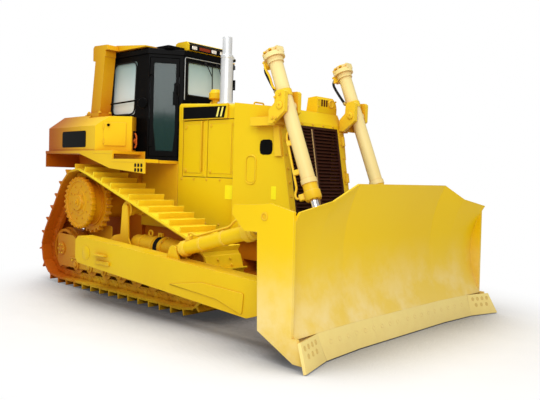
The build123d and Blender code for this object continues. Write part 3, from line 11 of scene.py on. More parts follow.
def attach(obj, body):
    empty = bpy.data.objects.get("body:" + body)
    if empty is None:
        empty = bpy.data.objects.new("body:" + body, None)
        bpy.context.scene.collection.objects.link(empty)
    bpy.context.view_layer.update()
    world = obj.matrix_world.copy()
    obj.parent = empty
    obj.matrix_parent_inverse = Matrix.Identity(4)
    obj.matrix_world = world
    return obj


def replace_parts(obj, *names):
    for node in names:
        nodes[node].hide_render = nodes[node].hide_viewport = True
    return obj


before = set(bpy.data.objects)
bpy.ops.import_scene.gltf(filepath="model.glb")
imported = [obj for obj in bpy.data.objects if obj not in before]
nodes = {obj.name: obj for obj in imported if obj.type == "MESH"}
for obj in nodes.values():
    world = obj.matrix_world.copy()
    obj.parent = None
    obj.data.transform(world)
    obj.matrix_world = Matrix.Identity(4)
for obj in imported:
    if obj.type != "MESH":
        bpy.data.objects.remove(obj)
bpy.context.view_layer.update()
scene = bpy.context.scene
scene.view_settings.view_transform = "Standard"

# ------------------------------------------------------------------ the studio
# A pale sweep of floor that runs out of sight, a white surround, and three big soft lamps. The
# camera stands low, in front of the machine's right-hand corner, at a standing person's height.

camera_data = bpy.data.cameras.new("camera")
camera_data.lens = 42.68
camera_data.sensor_width = 36.0
camera_data.shift_x = 0.0035
camera_data.shift_y = 0.0035
camera_data.clip_end = 200.0
camera = bpy.data.objects.new("camera", camera_data)
scene.collection.objects.link(camera)
scene.camera = camera


def look(yaw, pitch, roll):
    """Camera axes from its heading, its downward pitch and its roll, all in degrees."""
    yaw, pitch, roll = (math.radians(a) for a in (yaw, pitch, roll))
    ahead = Vector((-math.cos(yaw) * math.cos(pitch), math.sin(yaw) * math.cos(pitch), -math.sin(pitch)))
    right = ahead.cross(Vector((0, 0, 1))).normalized()
    up = right.cross(ahead)
    turned_right = right * math.cos(roll) + up * math.sin(roll)
    turned_up = up * math.cos(roll) - right * math.sin(roll)
    return Matrix((turned_right, turned_up, -ahead)).transposed()


camera.matrix_world = Matrix.Translation((6.221, -6.043, 1.675)) @ look(47.247, 2.439, 1.78).to_4x4()


def soft_lamp(name, place, target, size, power):
    """A square area lamp that faces a point."""
    lamp = bpy.data.lights.new(name, "AREA")
    lamp.shape = "SQUARE"
    lamp.size = size
    lamp.energy = power
    holder = bpy.data.objects.new(name, lamp)
    aim = Vector(target) - Vector(place)
    holder.matrix_world = Matrix.Translation(place) @ aim.to_track_quat("-Z", "Y").to_matrix().to_4x4()
    scene.collection.objects.link(holder)


soft_lamp("key lamp", (6.8, -6.6, 5.4), (1.4, -0.8, 1.0), 4.5, 395)
soft_lamp("top lamp", (0.2, -2.2, 9.0), (0.0, -0.6, 1.5), 5.0, 345)
soft_lamp("rear lamp", (-8.0, 6.0, 6.0), (0, 0, 1.5), 6.0, 130)


class Finish:
    """A material being wired: it makes nodes, and hands out their outputs as Value."""

    def __init__(self, name):
        self.material = bpy.data.materials.new(name)
        self.material.use_nodes = True
        self.tree = self.material.node_tree
        self.tree.nodes.clear()
        self.out = self.tree.nodes.new("ShaderNodeOutputMaterial")

    def node(self, kind, settings=None, inputs=None, output=0):
        """One node: its settings are set first, then the values or links of its sockets."""
        made = self.tree.nodes.new("ShaderNode" + kind)
        for key, value in (settings or {}).items():
            if key == "stops":
                while len(made.color_ramp.elements) < len(value):
                    made.color_ramp.elements.new(0.5)
                for element, (place, colour) in zip(made.color_ramp.elements, value):
                    element.position = place
                    element.color = colour
            else:
                setattr(made, key, value)
        for key, value in (inputs or {}).items():
            if isinstance(value, Value):
                self.tree.links.new(value.socket, made.inputs[key])
            else:
                made.inputs[key].default_value = value
        return Value(self, made.outputs[output])

    def noise(self, scale, detail=3.0, roughness=0.5):
        """Fractal noise from 0 to 1 on the object's own coordinates."""
        return self.node("TexNoise", {"normalize": True},
                         {"Vector": self.node("TexCoord", output="Object"), "Scale": scale,
                          "Detail": detail, "Roughness": roughness}, "Fac")

    def mix(self, share, first, second):
        """A colour between two colours."""
        return self.node("Mix", {"data_type": "RGBA"}, {0: share, 6: first, 7: second}, 2)

    def ramp(self, value, low, high):
        """0 below low, 1 above high, smooth between them."""
        return self.node("MapRange", {"interpolation_type": "SMOOTHSTEP"},
                         {"Value": value, "From Min": low, "From Max": high}, 0)

    def facing(self):
        """How far the surface faces up: 1 on a floor, -1 on a ceiling."""
        normal = self.node("NewGeometry", output="Normal")
        return self.node("SeparateXYZ", None, {"Vector": normal}, 2)

    def along(self, axis):
        """One of the object's own coordinates in metres: 0 forwards, 1 left, 2 up."""
        place = self.node("TexCoord", output="Object")
        return self.node("SeparateXYZ", None, {"Vector": place}, axis)

    def surface(self, shader):
        """The material, with this shader as its surface."""
        self.tree.links.new(shader.socket, self.out.inputs["Surface"])
        return self.material

    def principled(self, inputs):
        """The material, with a principled shader of these inputs as its surface."""
        return self.surface(self.node("BsdfPrincipled", None, inputs))


class Value:
    """A socket that can be used in arithmetic: each operation adds a math node."""

    def __init__(self, finish, socket):
        self.finish = finish
        self.socket = socket

    def math(self, operation, *others, swap=False):
        """A math node of this value and others, or of others and this value when swapped."""
        operands = [self, *others]
        if swap:
            operands.reverse()
        return self.finish.node("Math", {"operation": operation}, dict(enumerate(operands)))

    def __add__(self, other):
        return self.math("ADD", other)

    def __rsub__(self, other):
        return self.math("SUBTRACT", other, swap=True)

    def __mul__(self, other):
        return self.math("MULTIPLY", other)

    def __pow__(self, other):
        return self.math("POWER", other)

    __radd__ = __add__
    __rmul__ = __mul__


def rgb(red, green, blue):
    """A linear colour from one written as screen values from 0 to 1."""
    linear = (((v + 0.055) / 1.055) ** 2.4 if v > 0.04045 else v / 12.92 for v in (red, green, blue))
    return (*linear, 1.0)


def studio_surround():
    """White wherever it is seen, mirrored or seen through glass, and a mild grey as a light."""
    world = bpy.data.worlds.new("surround")
    scene.world = world
    world.use_nodes = True
    tree = world.node_tree
    tree.nodes.clear()
    rays = tree.nodes.new("ShaderNodeLightPath")
    seen = tree.nodes.new("ShaderNodeMath")
    seen.operation = "MAXIMUM"
    tree.links.new(rays.outputs["Is Camera Ray"], seen.inputs[0])
    tree.links.new(rays.outputs["Is Transmission Ray"], seen.inputs[1])
    light = tree.nodes.new("ShaderNodeBackground")
    light.inputs["Color"].default_value = (1.0, 0.97, 0.93, 1.0)
    light.inputs["Strength"].default_value = 0.56
    white = tree.nodes.new("ShaderNodeBackground")
    white.inputs["Color"].default_value = (1.0, 1.0, 1.0, 1.0)
    white.inputs["Strength"].default_value = 1.0
    either = tree.nodes.new("ShaderNodeMixShader")
    out = tree.nodes.new("ShaderNodeOutputWorld")
    tree.links.new(seen.outputs[0], either.inputs[0])
    tree.links.new(light.outputs[0], either.inputs[1])
    tree.links.new(white.outputs[0], either.inputs[2])
    tree.links.new(either.outputs[0], out.inputs["Surface"])


def studio_floor():
    """A wide plain floor at ground level. Away from the machine it melts into the white surround."""
    reach = 60.0
    mesh = bpy.data.meshes.new("floor")
    mesh.from_pydata([(-reach, -reach, 0), (reach, -reach, 0), (reach, reach, 0), (-reach, reach, 0)], [],
                     [(0, 1, 2, 3)])
    floor = bpy.data.objects.new("floor", mesh)
    scene.collection.objects.link(floor)
    paper = Finish("studio paper")
    grain = paper.noise(3.0, 2.0)
    shade = paper.mix(grain, (0.86, 0.86, 0.86, 1.0), (0.9, 0.9, 0.9, 1.0))
    # painted shadow: the floor turns near black where the machine hides its sky, a contact shadow under
    # tracks and blade
    sky = paper.node("AmbientOcclusion", {"samples": 6}, {"Distance": 1.3}, "AO")
    shade = paper.mix(1.0 - paper.ramp(sky, 0.3, 0.98), shade, (0.03, 0.03, 0.035, 1.0))
    lit = paper.node("BsdfPrincipled", None,
                     {"Base Color": shade, "Roughness": 0.9, "Specular IOR Level": 0.1})
    white = paper.node("Emission", None, {"Color": (1.0, 1.0, 1.0, 1.0), "Strength": 1.0})
    length = (paper.along(0) * 0.3 + -0.18) ** 2.0
    width = (paper.along(1) * 0.36) ** 2.0
    away = paper.ramp((length + width) ** 0.5, 0.75, 1.5)
    rays = paper.node("LightPath", output="Is Camera Ray")
    mesh.materials.append(paper.surface(paper.node("MixShader", None,
                                                   {0: (away * 0.96 + 0.04) * rays, 1: lit, 2: white})))


studio_surround()
studio_floor()

# ------------------------------------------------------------------ paint
# Gloss machine enamel, sprayed over the whole machine, tracks too. It has a faint orange peel,
# slow changes of tone from panel to panel, pale edges of rubbed wear and painted highlight, a film
# of dust where it lies level, dirt low down, and painted brown shade where plates meet and towards the
# back.

lemon = rgb(0.935, 0.81, 0.07)
amber = rgb(0.9, 0.72, 0.03)
# cream is the colour of the pale edges and the pale foot: wear and scuffing, with painted highlight and
# reflection
cream = rgb(0.965, 0.885, 0.64)
dust_colour = rgb(0.95, 0.86, 0.52)
shade_and_grease_brown = rgb(0.74, 0.35, 0.01)
rear_shade_brown = rgb(0.68, 0.34, 0.02)


def enamel(name, colour=lemon, deep=amber, dust=0.25, gloss=0.36, edge=0.004, edge_wear_and_highlight=0.35, grime_and_rear_shade=0.0,
           pale=None, crevice_shade=0.6, rear=0.0, reach=(-2.9, 0.9), painted_rear_shade=0.0):
    """Sprayed enamel: tone from wide noise, pale edges (wear and painted highlight) where the rounded
    normal leaves the flat one, dust on level faces, and painted shade from how little of the sky a
    point sees. reach is from where to where, along x, the painted shade towards the back thins out."""
    paint = Finish(name)
    rounded = paint.node("Bevel", {"samples": 4}, {"Radius": edge})
    flat = paint.node("NewGeometry", output="Normal")
    square = paint.node("VectorMath", {"operation": "DOT_PRODUCT"}, {0: rounded, 1: flat}, "Value")
    patchy = paint.ramp(paint.noise(5.5, 5.0, 0.65), 0.25, 0.8)
    fine = paint.noise(28.0, 4.0)
    tone = paint.ramp(paint.noise(0.9, 2.0), 0.3, 0.7)
    shade = paint.mix(tone * 0.35, colour, deep)
    if painted_rear_shade:
        # painted shade: browner towards the back of the machine, where the light falls off
        shade = paint.mix((1.0 - paint.ramp(paint.along(0), *reach)) * painted_rear_shade, shade, rear_shade_brown)
    if pale:
        # scuffing and painted reflection of the floor, from the foot of the piece up to a height, as
        # (height, share)
        scuff_and_reflection = (1.0 - paint.ramp(paint.along(2), 0.0, pale[0])) * pale[1]
        streaked = paint.ramp(paint.noise(1.7, 6.0, 0.62), 0.36, 0.62) * 0.65 + 0.35
        shade = paint.mix(scuff_and_reflection * streaked, shade, cream)
    lying = paint.ramp(paint.facing(), 0.35, 0.98) * dust
    shade = paint.mix(lying * patchy, shade, dust_colour)
    # pale edges: part rubbed wear, part painted highlight on the rounded edges
    rubbed_and_lit_edge = (1.0 - square) * 5.0
    shade = paint.mix(paint.ramp(rubbed_and_lit_edge, 0.1, 0.9) * edge_wear_and_highlight, shade, cream)
    # painted shade: browner where a point sees little sky, in hollows, corners and between parts
    sky = paint.node("AmbientOcclusion", {"samples": 3}, {"Distance": 0.45}, "AO")
    hidden = (1.0 - paint.ramp(sky, 0.1, 1.0)) * (0.75 + 0.25 * patchy) * crevice_shade
    shade = paint.mix(hidden, shade, shade_and_grease_brown)
    # grime low down, and painted shade towards the back (its share is rear), in streaks
    if grime_and_rear_shade:
        low = 1.0 - paint.ramp(paint.along(2), 0.1, 0.9)
        behind = 1.0 - paint.ramp(paint.along(0), *reach)
        streaks = paint.ramp(paint.noise(9.0, 6.0, 0.7), 0.3, 0.75) * 0.6 + 0.4
        shade = paint.mix(streaks * (low * 0.8 + behind * rear) * grime_and_rear_shade, shade, shade_and_grease_brown)
    peel = paint.noise(340.0, 2.0)
    waves = paint.noise(4.0, 1.0)
    bump = paint.node("Bump", None,
                      {"Strength": 0.12, "Distance": 0.002, "Height": peel * 0.15 + waves,
                       "Normal": rounded})
    rough = gloss + lying * 0.35 + fine * 0.08 + hidden * 0.25
    return paint.principled({"Base Color": shade, "Roughness": rough, "Normal": bump, "Coat Weight": 0.05,
                             "Coat Roughness": 0.12, "Specular IOR Level": 0.12})


def satin(name, colour, roughness, metallic=0.0, grain=120.0, edge=0.003, shine=0.12):
    """A plain finish with fine grain in tone and roughness, and rounded edges."""
    skin = Finish(name)
    speckle = skin.noise(grain, 4.0)
    smear = skin.noise(6.0, 4.0, 0.6)
    lighter = tuple(min(1.0, v * 1.35 + 0.004) for v in colour[:3]) + (1.0,)
    shade = skin.mix(speckle * 0.6 + smear * 0.4, colour, lighter)
    rounded = skin.node("Bevel", {"samples": 4}, {"Radius": edge})
    bump = skin.node("Bump", None,
                     {"Strength": 0.1, "Distance": 0.001, "Height": speckle, "Normal": rounded})
    return skin.principled({"Base Color": shade, "Roughness": roughness + smear * 0.12,
                            "Metallic": metallic, "Specular IOR Level": shine, "Normal": bump})


def dress(material, *names):
    """Give CAD nodes a finish."""
    for name in names:
        mesh = nodes[name].data
        mesh.materials.clear()
        mesh.materials.append(material)


hands = ("left", "right")


def pair(*stems):
    """Left and right node names."""
    return [f"{stem}_{hand}" for stem in stems for hand in hands]


body_paint = enamel("body enamel")
# painted light: a lighter yellow than the body, to brighten frames, rollers and recoil parts that lie in
# shade; painted shade browns it towards the back
frame_paint = enamel("undercarriage enamel", colour=rgb(1.0, 0.84, 0.14), deep=rgb(0.96, 0.76, 0.06),
                     dust=0.1, gloss=0.42, grime_and_rear_shade=0.5, rear=0.5, crevice_shade=0.7, reach=(-2.6, -1.3), painted_rear_shade=0.8)
# painted shade: a deeper orange than the body yellow, for the case that lies in shade under the machine,
# and darker towards the back
case_paint = enamel("case enamel", colour=rgb(0.92, 0.56, 0.05), deep=rgb(0.84, 0.46, 0.03), dust=0.1,
                    gloss=0.45, grime_and_rear_shade=0.6, rear=0.4, crevice_shade=0.9)
bolt_paint = enamel("bolt enamel", colour=rgb(0.9, 0.74, 0.12), deep=amber, dust=0.2, crevice_shade=0.5)

# ------------------------------------------------------------------ main frame and belly guard
# The welded case that carries everything, the bolted belly plate under it and the towing eye at
# its back. Thick plate, flame cut and welded, sprayed with the rest; its rear cover is bolted on.


def shell(rings, capped=True):
    """Quads between closed rings of equal size, ring after ring, with a flat face on both ends.
    rings is an array of ring, point, xyz, with any number of copies before those."""
    rings = np.asarray(rings, float)
    *copies, count, points, _ = rings.shape
    row, column = np.meshgrid(np.arange(count - 1), np.arange(points), indexing="ij")
    here, beside = row * points + column, row * points + (column + 1) % points
    quads = np.stack([here, beside, beside + points, here + points], -1).reshape(-1, 4)
    ends = np.stack([np.arange(points)[::-1], np.arange(points) + (count - 1) * points])
    starts = np.arange(int(np.prod(copies, dtype=int))) * count * points
    faces = [(quads[None] + starts[:, None, None]).reshape(-1, 4)]
    if capped:
        faces.append((ends[None] + starts[:, None, None]).reshape(-1, points))
    return rings.reshape(-1, 3), faces


def inset(outline, by):
    """A closed flat outline moved inwards: each corner goes along the sum of its two edges' inward
    normals, divided by one plus their dot product."""
    outline = np.asarray(outline, float)
    ahead = np.roll(outline, -1, 0) - outline
    normal = np.stack([-ahead[:, 1], ahead[:, 0]], 1) / np.linalg.norm(ahead, axis=1, keepdims=True)
    before = np.roll(normal, 1, 0)
    corner = (normal + before) / np.maximum(1 + (normal * before).sum(1, keepdims=True), 0.2)
    following = np.roll(outline, -1, 0)
    turn = np.sign((outline[:, 0] * following[:, 1] - outline[:, 1] * following[:, 0]).sum())
    return outline + by * turn * corner


FORWARD, LEFT, UP = (1, 0, 0), (0, 1, 0), (0, 0, 1)


def rect(u0, v0, u1, v1, radius=None, steps=4):
    """A rectangle's outline, with its corners eased when a radius is given."""
    corners = ((u0, v0), (u1, v0), (u1, v1), (u0, v1))
    return rounded(corners, radius, steps) if radius else corners


def side_face(y):
    """Origin and axes for an outline in x and z, on a face that looks left at this y."""
    return (0, y, 0), FORWARD, UP, LEFT


def front_face(x):
    """Origin and axes for an outline in y and z, on a face that looks forwards at this x."""
    return (x, 0, 0), LEFT, UP, FORWARD


def level_face(z):
    """Origin and axes for an outline in x and y, on a level face at this height."""
    return (0, 0, z), FORWARD, LEFT, UP


def slab(outline, low, high, place, edge=0.003):
    """A plate: its outline carried along w from low to high, with both rims stepped in by edge.
    place is its origin and its u, v and w axes."""
    origin, u, v, w = (np.asarray(a, float) for a in place)
    rings = []
    for level, step in ((low, edge), (low + edge, 0.0), (high - edge, 0.0), (high, edge)):
        flat = inset(outline, step)
        rings.append(origin + flat[:, :1] * u + flat[:, 1:] * v + level * w)
    return shell(np.stack(rings))


def rounded(points, radius, steps=4, closed=True):
    """A line with its corners eased: each becomes the parabola that leaves one edge and joins the
    next at this distance from the corner."""
    points = np.asarray(points, float)
    before, after = np.roll(points, 1, 0) - points, np.roll(points, -1, 0) - points
    before_size, after_size = (np.linalg.norm(d, axis=1, keepdims=True) for d in (before, after))
    start = points + before * np.minimum(radius / before_size, 0.49)
    end = points + after * np.minimum(radius / after_size, 0.49)
    t = np.linspace(0, 1, steps + 1)[None, :, None]
    curve = (1 - t) ** 2 * start[:, None] + 2 * t * (1 - t) * points[:, None] + t ** 2 * end[:, None]
    if closed:
        return curve.reshape(-1, points.shape[1])
    return np.concatenate([points[:1], curve[1:-1].reshape(-1, points.shape[1]), points[-1:]])


def across(axis):
    """Two unit vectors square to each axis and to each other, for one axis or an array of them."""
    axis = np.asarray(axis, float)
    axis = axis / np.linalg.norm(axis, axis=-1, keepdims=True)
    helper = np.where(np.abs(axis[..., 2:]) < 0.9, [0.0, 0.0, 1.0], [1.0, 0.0, 0.0])
    u = np.cross(helper, axis)
    u = u / np.linalg.norm(u, axis=-1, keepdims=True)
    return axis, u, np.cross(axis, u)


def studs(points, axis, profile, around=6, bored=False):
    """Turned or hexagon pieces, one at each point: the profile, as (radius, height) pairs, is
    carried round the axis there in equal steps. A bored one's profile runs back up its bore."""
    points = np.atleast_2d(np.asarray(points, float))
    axis, u, v = across(np.broadcast_to(np.asarray(axis, float), points.shape))
    profile = np.asarray([*profile, profile[0]] if bored else profile, float)
    turn = np.linspace(0, 2 * np.pi, around, endpoint=False)[:, None]
    spoke = (np.cos(turn) * u[:, None, None] + np.sin(turn) * v[:, None, None])
    rings = (points[:, None, None] + profile[None, :, None, 1:] * axis[:, None, None]
             + profile[None, :, None, :1] * spoke)
    return shell(rings, capped=not bored)


def bolts(points, axis, size=0.036):
    """Hexagon heads on washers; size is the head's width."""
    half = size * 0.55
    return studs(points, axis,
                 ((half * 1.25, -0.004), (half * 1.25, size * 0.1), (half, size * 0.1), (half, size * 0.5),
                  (half * 0.8, size * 0.6)))


def tube(path, radius, around=12, closed=False):
    """A round bar along a path: a ring at each point, square to the line through its neighbours. A
    closed one comes back to its first ring."""
    path = np.asarray(path, float)
    ahead = np.roll(path, -1, 0) - np.roll(path, 1, 0) if closed else np.gradient(path, axis=0)
    ahead = ahead / np.linalg.norm(ahead, axis=1, keepdims=True)
    helper = np.eye(3)[np.argmin(np.abs(ahead).max(0))]
    u = np.cross(helper, ahead)
    u = u / np.linalg.norm(u, axis=1, keepdims=True)
    v = np.cross(ahead, u)
    turn = np.linspace(0, 2 * np.pi, around, endpoint=False)[None, :, None]
    radius = np.broadcast_to(radius, len(path))[:, None, None]
    rings = path[:, None] + radius * (np.cos(turn) * u[:, None] + np.sin(turn) * v[:, None])
    return shell(np.concatenate([rings, rings[:1]]) if closed else rings, capped=not closed)


def hoop(centre, axis, ring, bar):
    """A closed round ring: a circle of this radius carried round another, as a torus is."""
    axis, u, v = across(axis)
    turn = np.linspace(0, 2 * np.pi, 25)[:, None, None]
    tip = np.linspace(0, 2 * np.pi, 8, endpoint=False)[None, :, None]
    spoke = np.cos(turn) * u + np.sin(turn) * v
    return shell(np.asarray(centre) + spoke * (ring + bar * np.cos(tip)) + axis * bar * np.sin(tip),
                 capped=False)


def flipped(part):
    """The same part on the machine's other side, y turned to -y."""
    return part[0] * np.array([1.0, -1.0, 1.0]), part[1]


def both(*parts):
    """These parts and their mirror images."""
    return [*parts, *map(flipped, parts)]


def circle(centre, u, v, radius, count, turn=0.0):
    """Points evenly round a centre at this radius, going from u towards v."""
    angle = np.linspace(0, 2 * np.pi, count, endpoint=False)[:, None] + turn
    return np.asarray(centre) + radius * (np.cos(angle) * np.asarray(u) + np.sin(angle) * np.asarray(v))


def on_side(name, *parts):
    """These parts on the machine's left side, or their mirror images on its right."""
    return list(map(flipped, parts)) if name == "right" else parts


def piece(name, parts, material, body="tractor", sharp=35.0):
    """One piece of the scene: its parts are joined, doubles merged, faces turned outwards, and
    shaded smooth where they meet at less than the sharp angle."""
    vertices, faces, start = [], [], 0
    for part_vertices, part_faces in parts:
        vertices.append(part_vertices)
        for group in part_faces:
            faces += (group + start).tolist()
        start += len(part_vertices)
    mesh = bpy.data.meshes.new(name)
    mesh.from_pydata(np.concatenate(vertices), [], faces)
    rough = bmesh.new()
    rough.from_mesh(mesh)
    bmesh.ops.remove_doubles(rough, verts=rough.verts, dist=1e-6)
    bmesh.ops.recalc_face_normals(rough, faces=rough.faces)
    rough.to_mesh(mesh)
    rough.free()
    mesh.shade_smooth()
    mesh.set_sharp_from_angle(angle=math.radians(sharp))
    mesh.materials.append(material)
    made = bpy.data.objects.new(name, mesh)
    scene.collection.objects.link(made)
    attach(made, body)
    return made


def line(first, last, count):
    """Evenly spaced points from first to last."""
    share = np.linspace(0, 1, count)[:, None]
    return np.asarray(first, float) * (1 - share) + np.asarray(last, float) * share


dress(case_paint, "main_frame", "belly_guard", "equalizer_bar", "drawbar")
case_back = -2.45
rear_cover = rounded(rect(-0.4, 0.6, 0.4, 1.42), 0.08)
cover_bolts = np.concatenate([line((case_back, y, 0.66), (case_back, y, 1.36), 6) for y in (-0.36, 0.36)]
                             + [line((case_back, -0.27, z), (case_back, 0.27, z), 5) for z in (0.64, 1.38)])
hub_cover = studs((case_back, 0, 1.0), (-1, 0, 0),
                  ((0.13, 0.0), (0.13, 0.04), (0.12, 0.048), (0.05, 0.05), (0.05, 0.07), (0.03, 0.074)), 28)
piece("case_rear_cover",
      [slab(rear_cover, -0.002, 0.018, ((case_back, 0, 0), LEFT, UP, (-1, 0, 0)), 0.005), hub_cover],
      frame_paint)
piece("case_cover_bolts", [bolts(cover_bolts - np.array([0.018, 0, 0]), (-1, 0, 0), 0.034)], bolt_paint)
eye_x = -2.81
eye_pin = studs((eye_x, 0, 0.0), UP,
                ((0.02, 0.49), (0.0255, 0.5), (0.0255, 0.668), (0.05, 0.668), (0.05, 0.69), (0.03, 0.7)),
                20)
piece("drawbar_pin", [eye_pin, hoop((eye_x, 0, 0.725), LEFT, 0.032, 0.007)],
      satin("pin steel", rgb(0.45, 0.43, 0.4), 0.4, 0.8))

# ------------------------------------------------------------------ tracks
# Each chain is forged links on pins, with a rolled steel shoe bolted to every pair of links. The
# shoes are one-piece bars with a single tall grouser; the whole track is sprayed body colour.

link_pitch = 0.216
track_y = 0.99
wheels = ((0.525, 0.49, 0.365), (-2.415, 0.49, 0.365), (-1.875, 1.198, 25 * link_pitch / (4 * math.pi)))


def tangent(a, b):
    """Angle of the outward normal of the chain's straight run from wheel a to wheel b."""
    run = math.atan2(b[1] - a[1], b[0] - a[0])
    return run + math.acos((a[2] - b[2]) / math.hypot(b[0] - a[0], b[1] - a[1]))


def pin_line():
    """The pins of one chain, evenly spaced along the belt that goes clockwise round the wheels:
    an arc about each, joined by straight runs."""
    arcs = []
    for i, (x, z, radius) in enumerate(wheels):
        arrive, leave = tangent(wheels[i - 1], wheels[i]), tangent(wheels[i], wheels[(i + 1) % 3])
        angle = arrive - np.linspace(0, (arrive - leave) % (2 * math.pi), 300)
        arcs.append(np.stack([x + radius * np.cos(angle), z + radius * np.sin(angle)], 1))
    belt = np.concatenate([*arcs, arcs[0][:1]])
    gone = np.concatenate([[0], np.cumsum(np.linalg.norm(np.diff(belt, axis=0), axis=1))])
    places = np.linspace(0, gone[-1], round(gone[-1] / link_pitch), endpoint=False)
    return np.stack([np.interp(places, gone, belt[:, k]) for k in (0, 1)], 1)


def repeated(part, origins, u, v, w):
    """Copies of a part, one at each origin, with its x, y and z turned to u, v and w there."""
    local, faces = part
    origins = np.atleast_2d(origins)
    u, v, w = (np.broadcast_to(np.asarray(a, float), origins.shape)[:, None] for a in (u, v, w))
    vertices = origins[:, None] + local[None, :, :1] * u + local[None, :, 1:2] * v + local[None, :, 2:] * w
    starts = np.arange(len(origins))[:, None, None] * len(local)
    return vertices.reshape(-1, 3), [(f[None] + starts).reshape(-1, f.shape[1]) for f in faces]


def upright(flat, y):
    """Points of a side view, as x and z, put at this y."""
    flat = np.asarray(flat, float)
    return np.stack([flat[:, 0], np.full(len(flat), float(y)), flat[:, 1]], 1)


# painted light: a lighter yellow than the body, to brighten links and shoes that lie in shade; grime low
# down, and painted shade browns it towards the back
track_paint = enamel("track enamel", colour=rgb(1.0, 0.9, 0.16), deep=rgb(1.0, 0.84, 0.1), dust=0.1,
                     gloss=0.45, edge=0.003, edge_wear_and_highlight=0.2, grime_and_rear_shade=0.7, rear=0.8, crevice_shade=0.5,
                     reach=(-2.55, -1.5), painted_rear_shade=1.0)
dress(track_paint, *pair("track"))
pins = pin_line()
forwards = np.roll(pins, -1, 0) - pins
forwards /= np.linalg.norm(forwards, axis=1, keepdims=True)
outwards = np.stack([-forwards[:, 1], forwards[:, 0]], 1)
link_plate = slab(rounded(((-0.036, -0.044), (0.05, -0.05), (0.108, -0.02), (0.166, -0.05), (0.252, -0.044),
                           (0.246, 0.018), (-0.03, 0.018)), 0.02, 2), 0.0, 0.007, level_face(0))
shoe_bolts, links = [], []
for rail in (-1, 1):
    for along in (0.05, 0.125):
        seat = pins + forwards * along + outwards * 0.06
        shoe_bolts.append(bolts(upright(seat, track_y + rail * 0.0975), upright(outwards, 0), 0.03))
    places, outer = upright(pins, track_y + rail * 0.125), (0, rail, 0)
    links += [studs(places, outer,
                    ((0.045, -0.004), (0.045, 0.01), (0.04, 0.014), (0.022, 0.014), (0.022, 0.017),
                     (0.016, 0.019)), 12),
              repeated(link_plate, places, upright(forwards, 0), upright(outwards, 0), outer)]
for hand in hands:
    piece("track_shoe_bolts_" + hand, on_side(hand, *shoe_bolts), track_paint)
    piece("track_links_" + hand, on_side(hand, *links), track_paint)

# ------------------------------------------------------------------ roller frames and wheels
# A long welded box inside each track holds seven bottom rollers, two idlers and the recoil spring.
# Roller shafts end in bolted collars, and a rock guard is bolted along the frame's foot.

dress(frame_paint, *pair("roller_frame", "rollers", "idlers"))
# painted shade: a deeper orange than the body yellow for the sprockets, which stand in shade, and darker
# towards the back
dress(enamel("sprocket enamel", colour=rgb(0.88, 0.64, 0.05), gloss=0.4, edge_wear_and_highlight=0.8, grime_and_rear_shade=0.8, rear=0.4),
      *pair("sprocket"))
frame_face = 1.165
idler_xs, idler_z = (0.525, -2.415), 0.49
roller_points = np.stack([0.12 - 0.355 * np.arange(7), np.full(7, frame_face), np.full(7, 0.2904)], 1)
collars = studs(roller_points, LEFT,
                ((0.074, -0.002), (0.074, 0.012), (0.062, 0.018), (0.04, 0.018), (0.04, 0.03),
                 (0.03, 0.034)), 20)
rock_guard = slab(rect(-2.16, 0.372, 0.26, 0.402), -0.002, 0.016, side_face(frame_face), 0.004)
idler_caps = studs([(x, frame_face, idler_z) for x in idler_xs], LEFT,
                   ((0.095, -0.002), (0.095, 0.014), (0.085, 0.02), (0.045, 0.02), (0.045, 0.03),
                    (0.036, 0.034)), 24)
frame_bolts = np.concatenate([roller_points + (dx, 0, 0.062) for dx in (-0.095, 0.095)])
idler_ring = np.concatenate([circle((x, frame_face + 0.016, idler_z), FORWARD, UP, 0.068, 6)
                             for x in idler_xs])
piece("roller_collars", both(collars, rock_guard, idler_caps), frame_paint)
piece("roller_frame_bolts", both(bolts(frame_bolts, LEFT, 0.034), bolts(idler_ring, LEFT, 0.022)),
      bolt_paint)

inner_face = 0.8
inner_guard = slab(rounded(((-2.47, 0.6), (-1.66, 0.6), (-1.66, 0.86), (-2.12, 0.89), (-2.38, 0.82)), 0.03,
                           3), 0.0, 0.014, side_face(inner_face), 0.004)
piece("inner_chain_guards", both(inner_guard), frame_paint)

# On top is the recoil cylinder, with a lifting ring, bolted clamp bands and a dark dust boot.
recoil_axis_z = 0.71
clamp_bands = [studs((x, track_y, recoil_axis_z), FORWARD,
                     ((radius - 0.012, -half), (radius, 0.006 - half), (radius, half - 0.006),
                      (radius - 0.012, half)), 32)
               for x, radius, half in ((-0.62, 0.131, 0.025), (-0.36, 0.136, 0.03), (-0.17, 0.14, 0.025))]
clamp_bolts = [(-0.14, track_y + 0.126 * np.cos(turn), recoil_axis_z + 0.126 * np.sin(turn))
               for turn in np.radians((40, 90, 140))]
lifting_ring = hoop((-0.5, track_y, 0.866), LEFT, 0.038, 0.012)
piece("recoil_bands", both(*clamp_bands, lifting_ring), frame_paint)
piece("recoil_bolts", both(bolts(clamp_bolts, FORWARD, 0.026)), bolt_paint)
boot_rings = np.linspace(0, 1, 13)
boot = studs((-0.262, track_y, recoil_axis_z), FORWARD,
             np.stack([0.1235 + 0.007 * np.cos(boot_rings * 12 * np.pi), -0.032 + 0.064 * boot_rings], 1),
             32)
rubber = satin("black rubber", rgb(0.1, 0.095, 0.09), 0.55, grain=60.0)
piece("recoil_boot", both(boot), rubber)

# ------------------------------------------------------------------ final drives
# Each sprocket is turned through planet gears in a bolted drum. The drum's rim has a cast boss for
# every stud, and its cover two more circles of bolts round the hub. Cast iron, sprayed yellow.

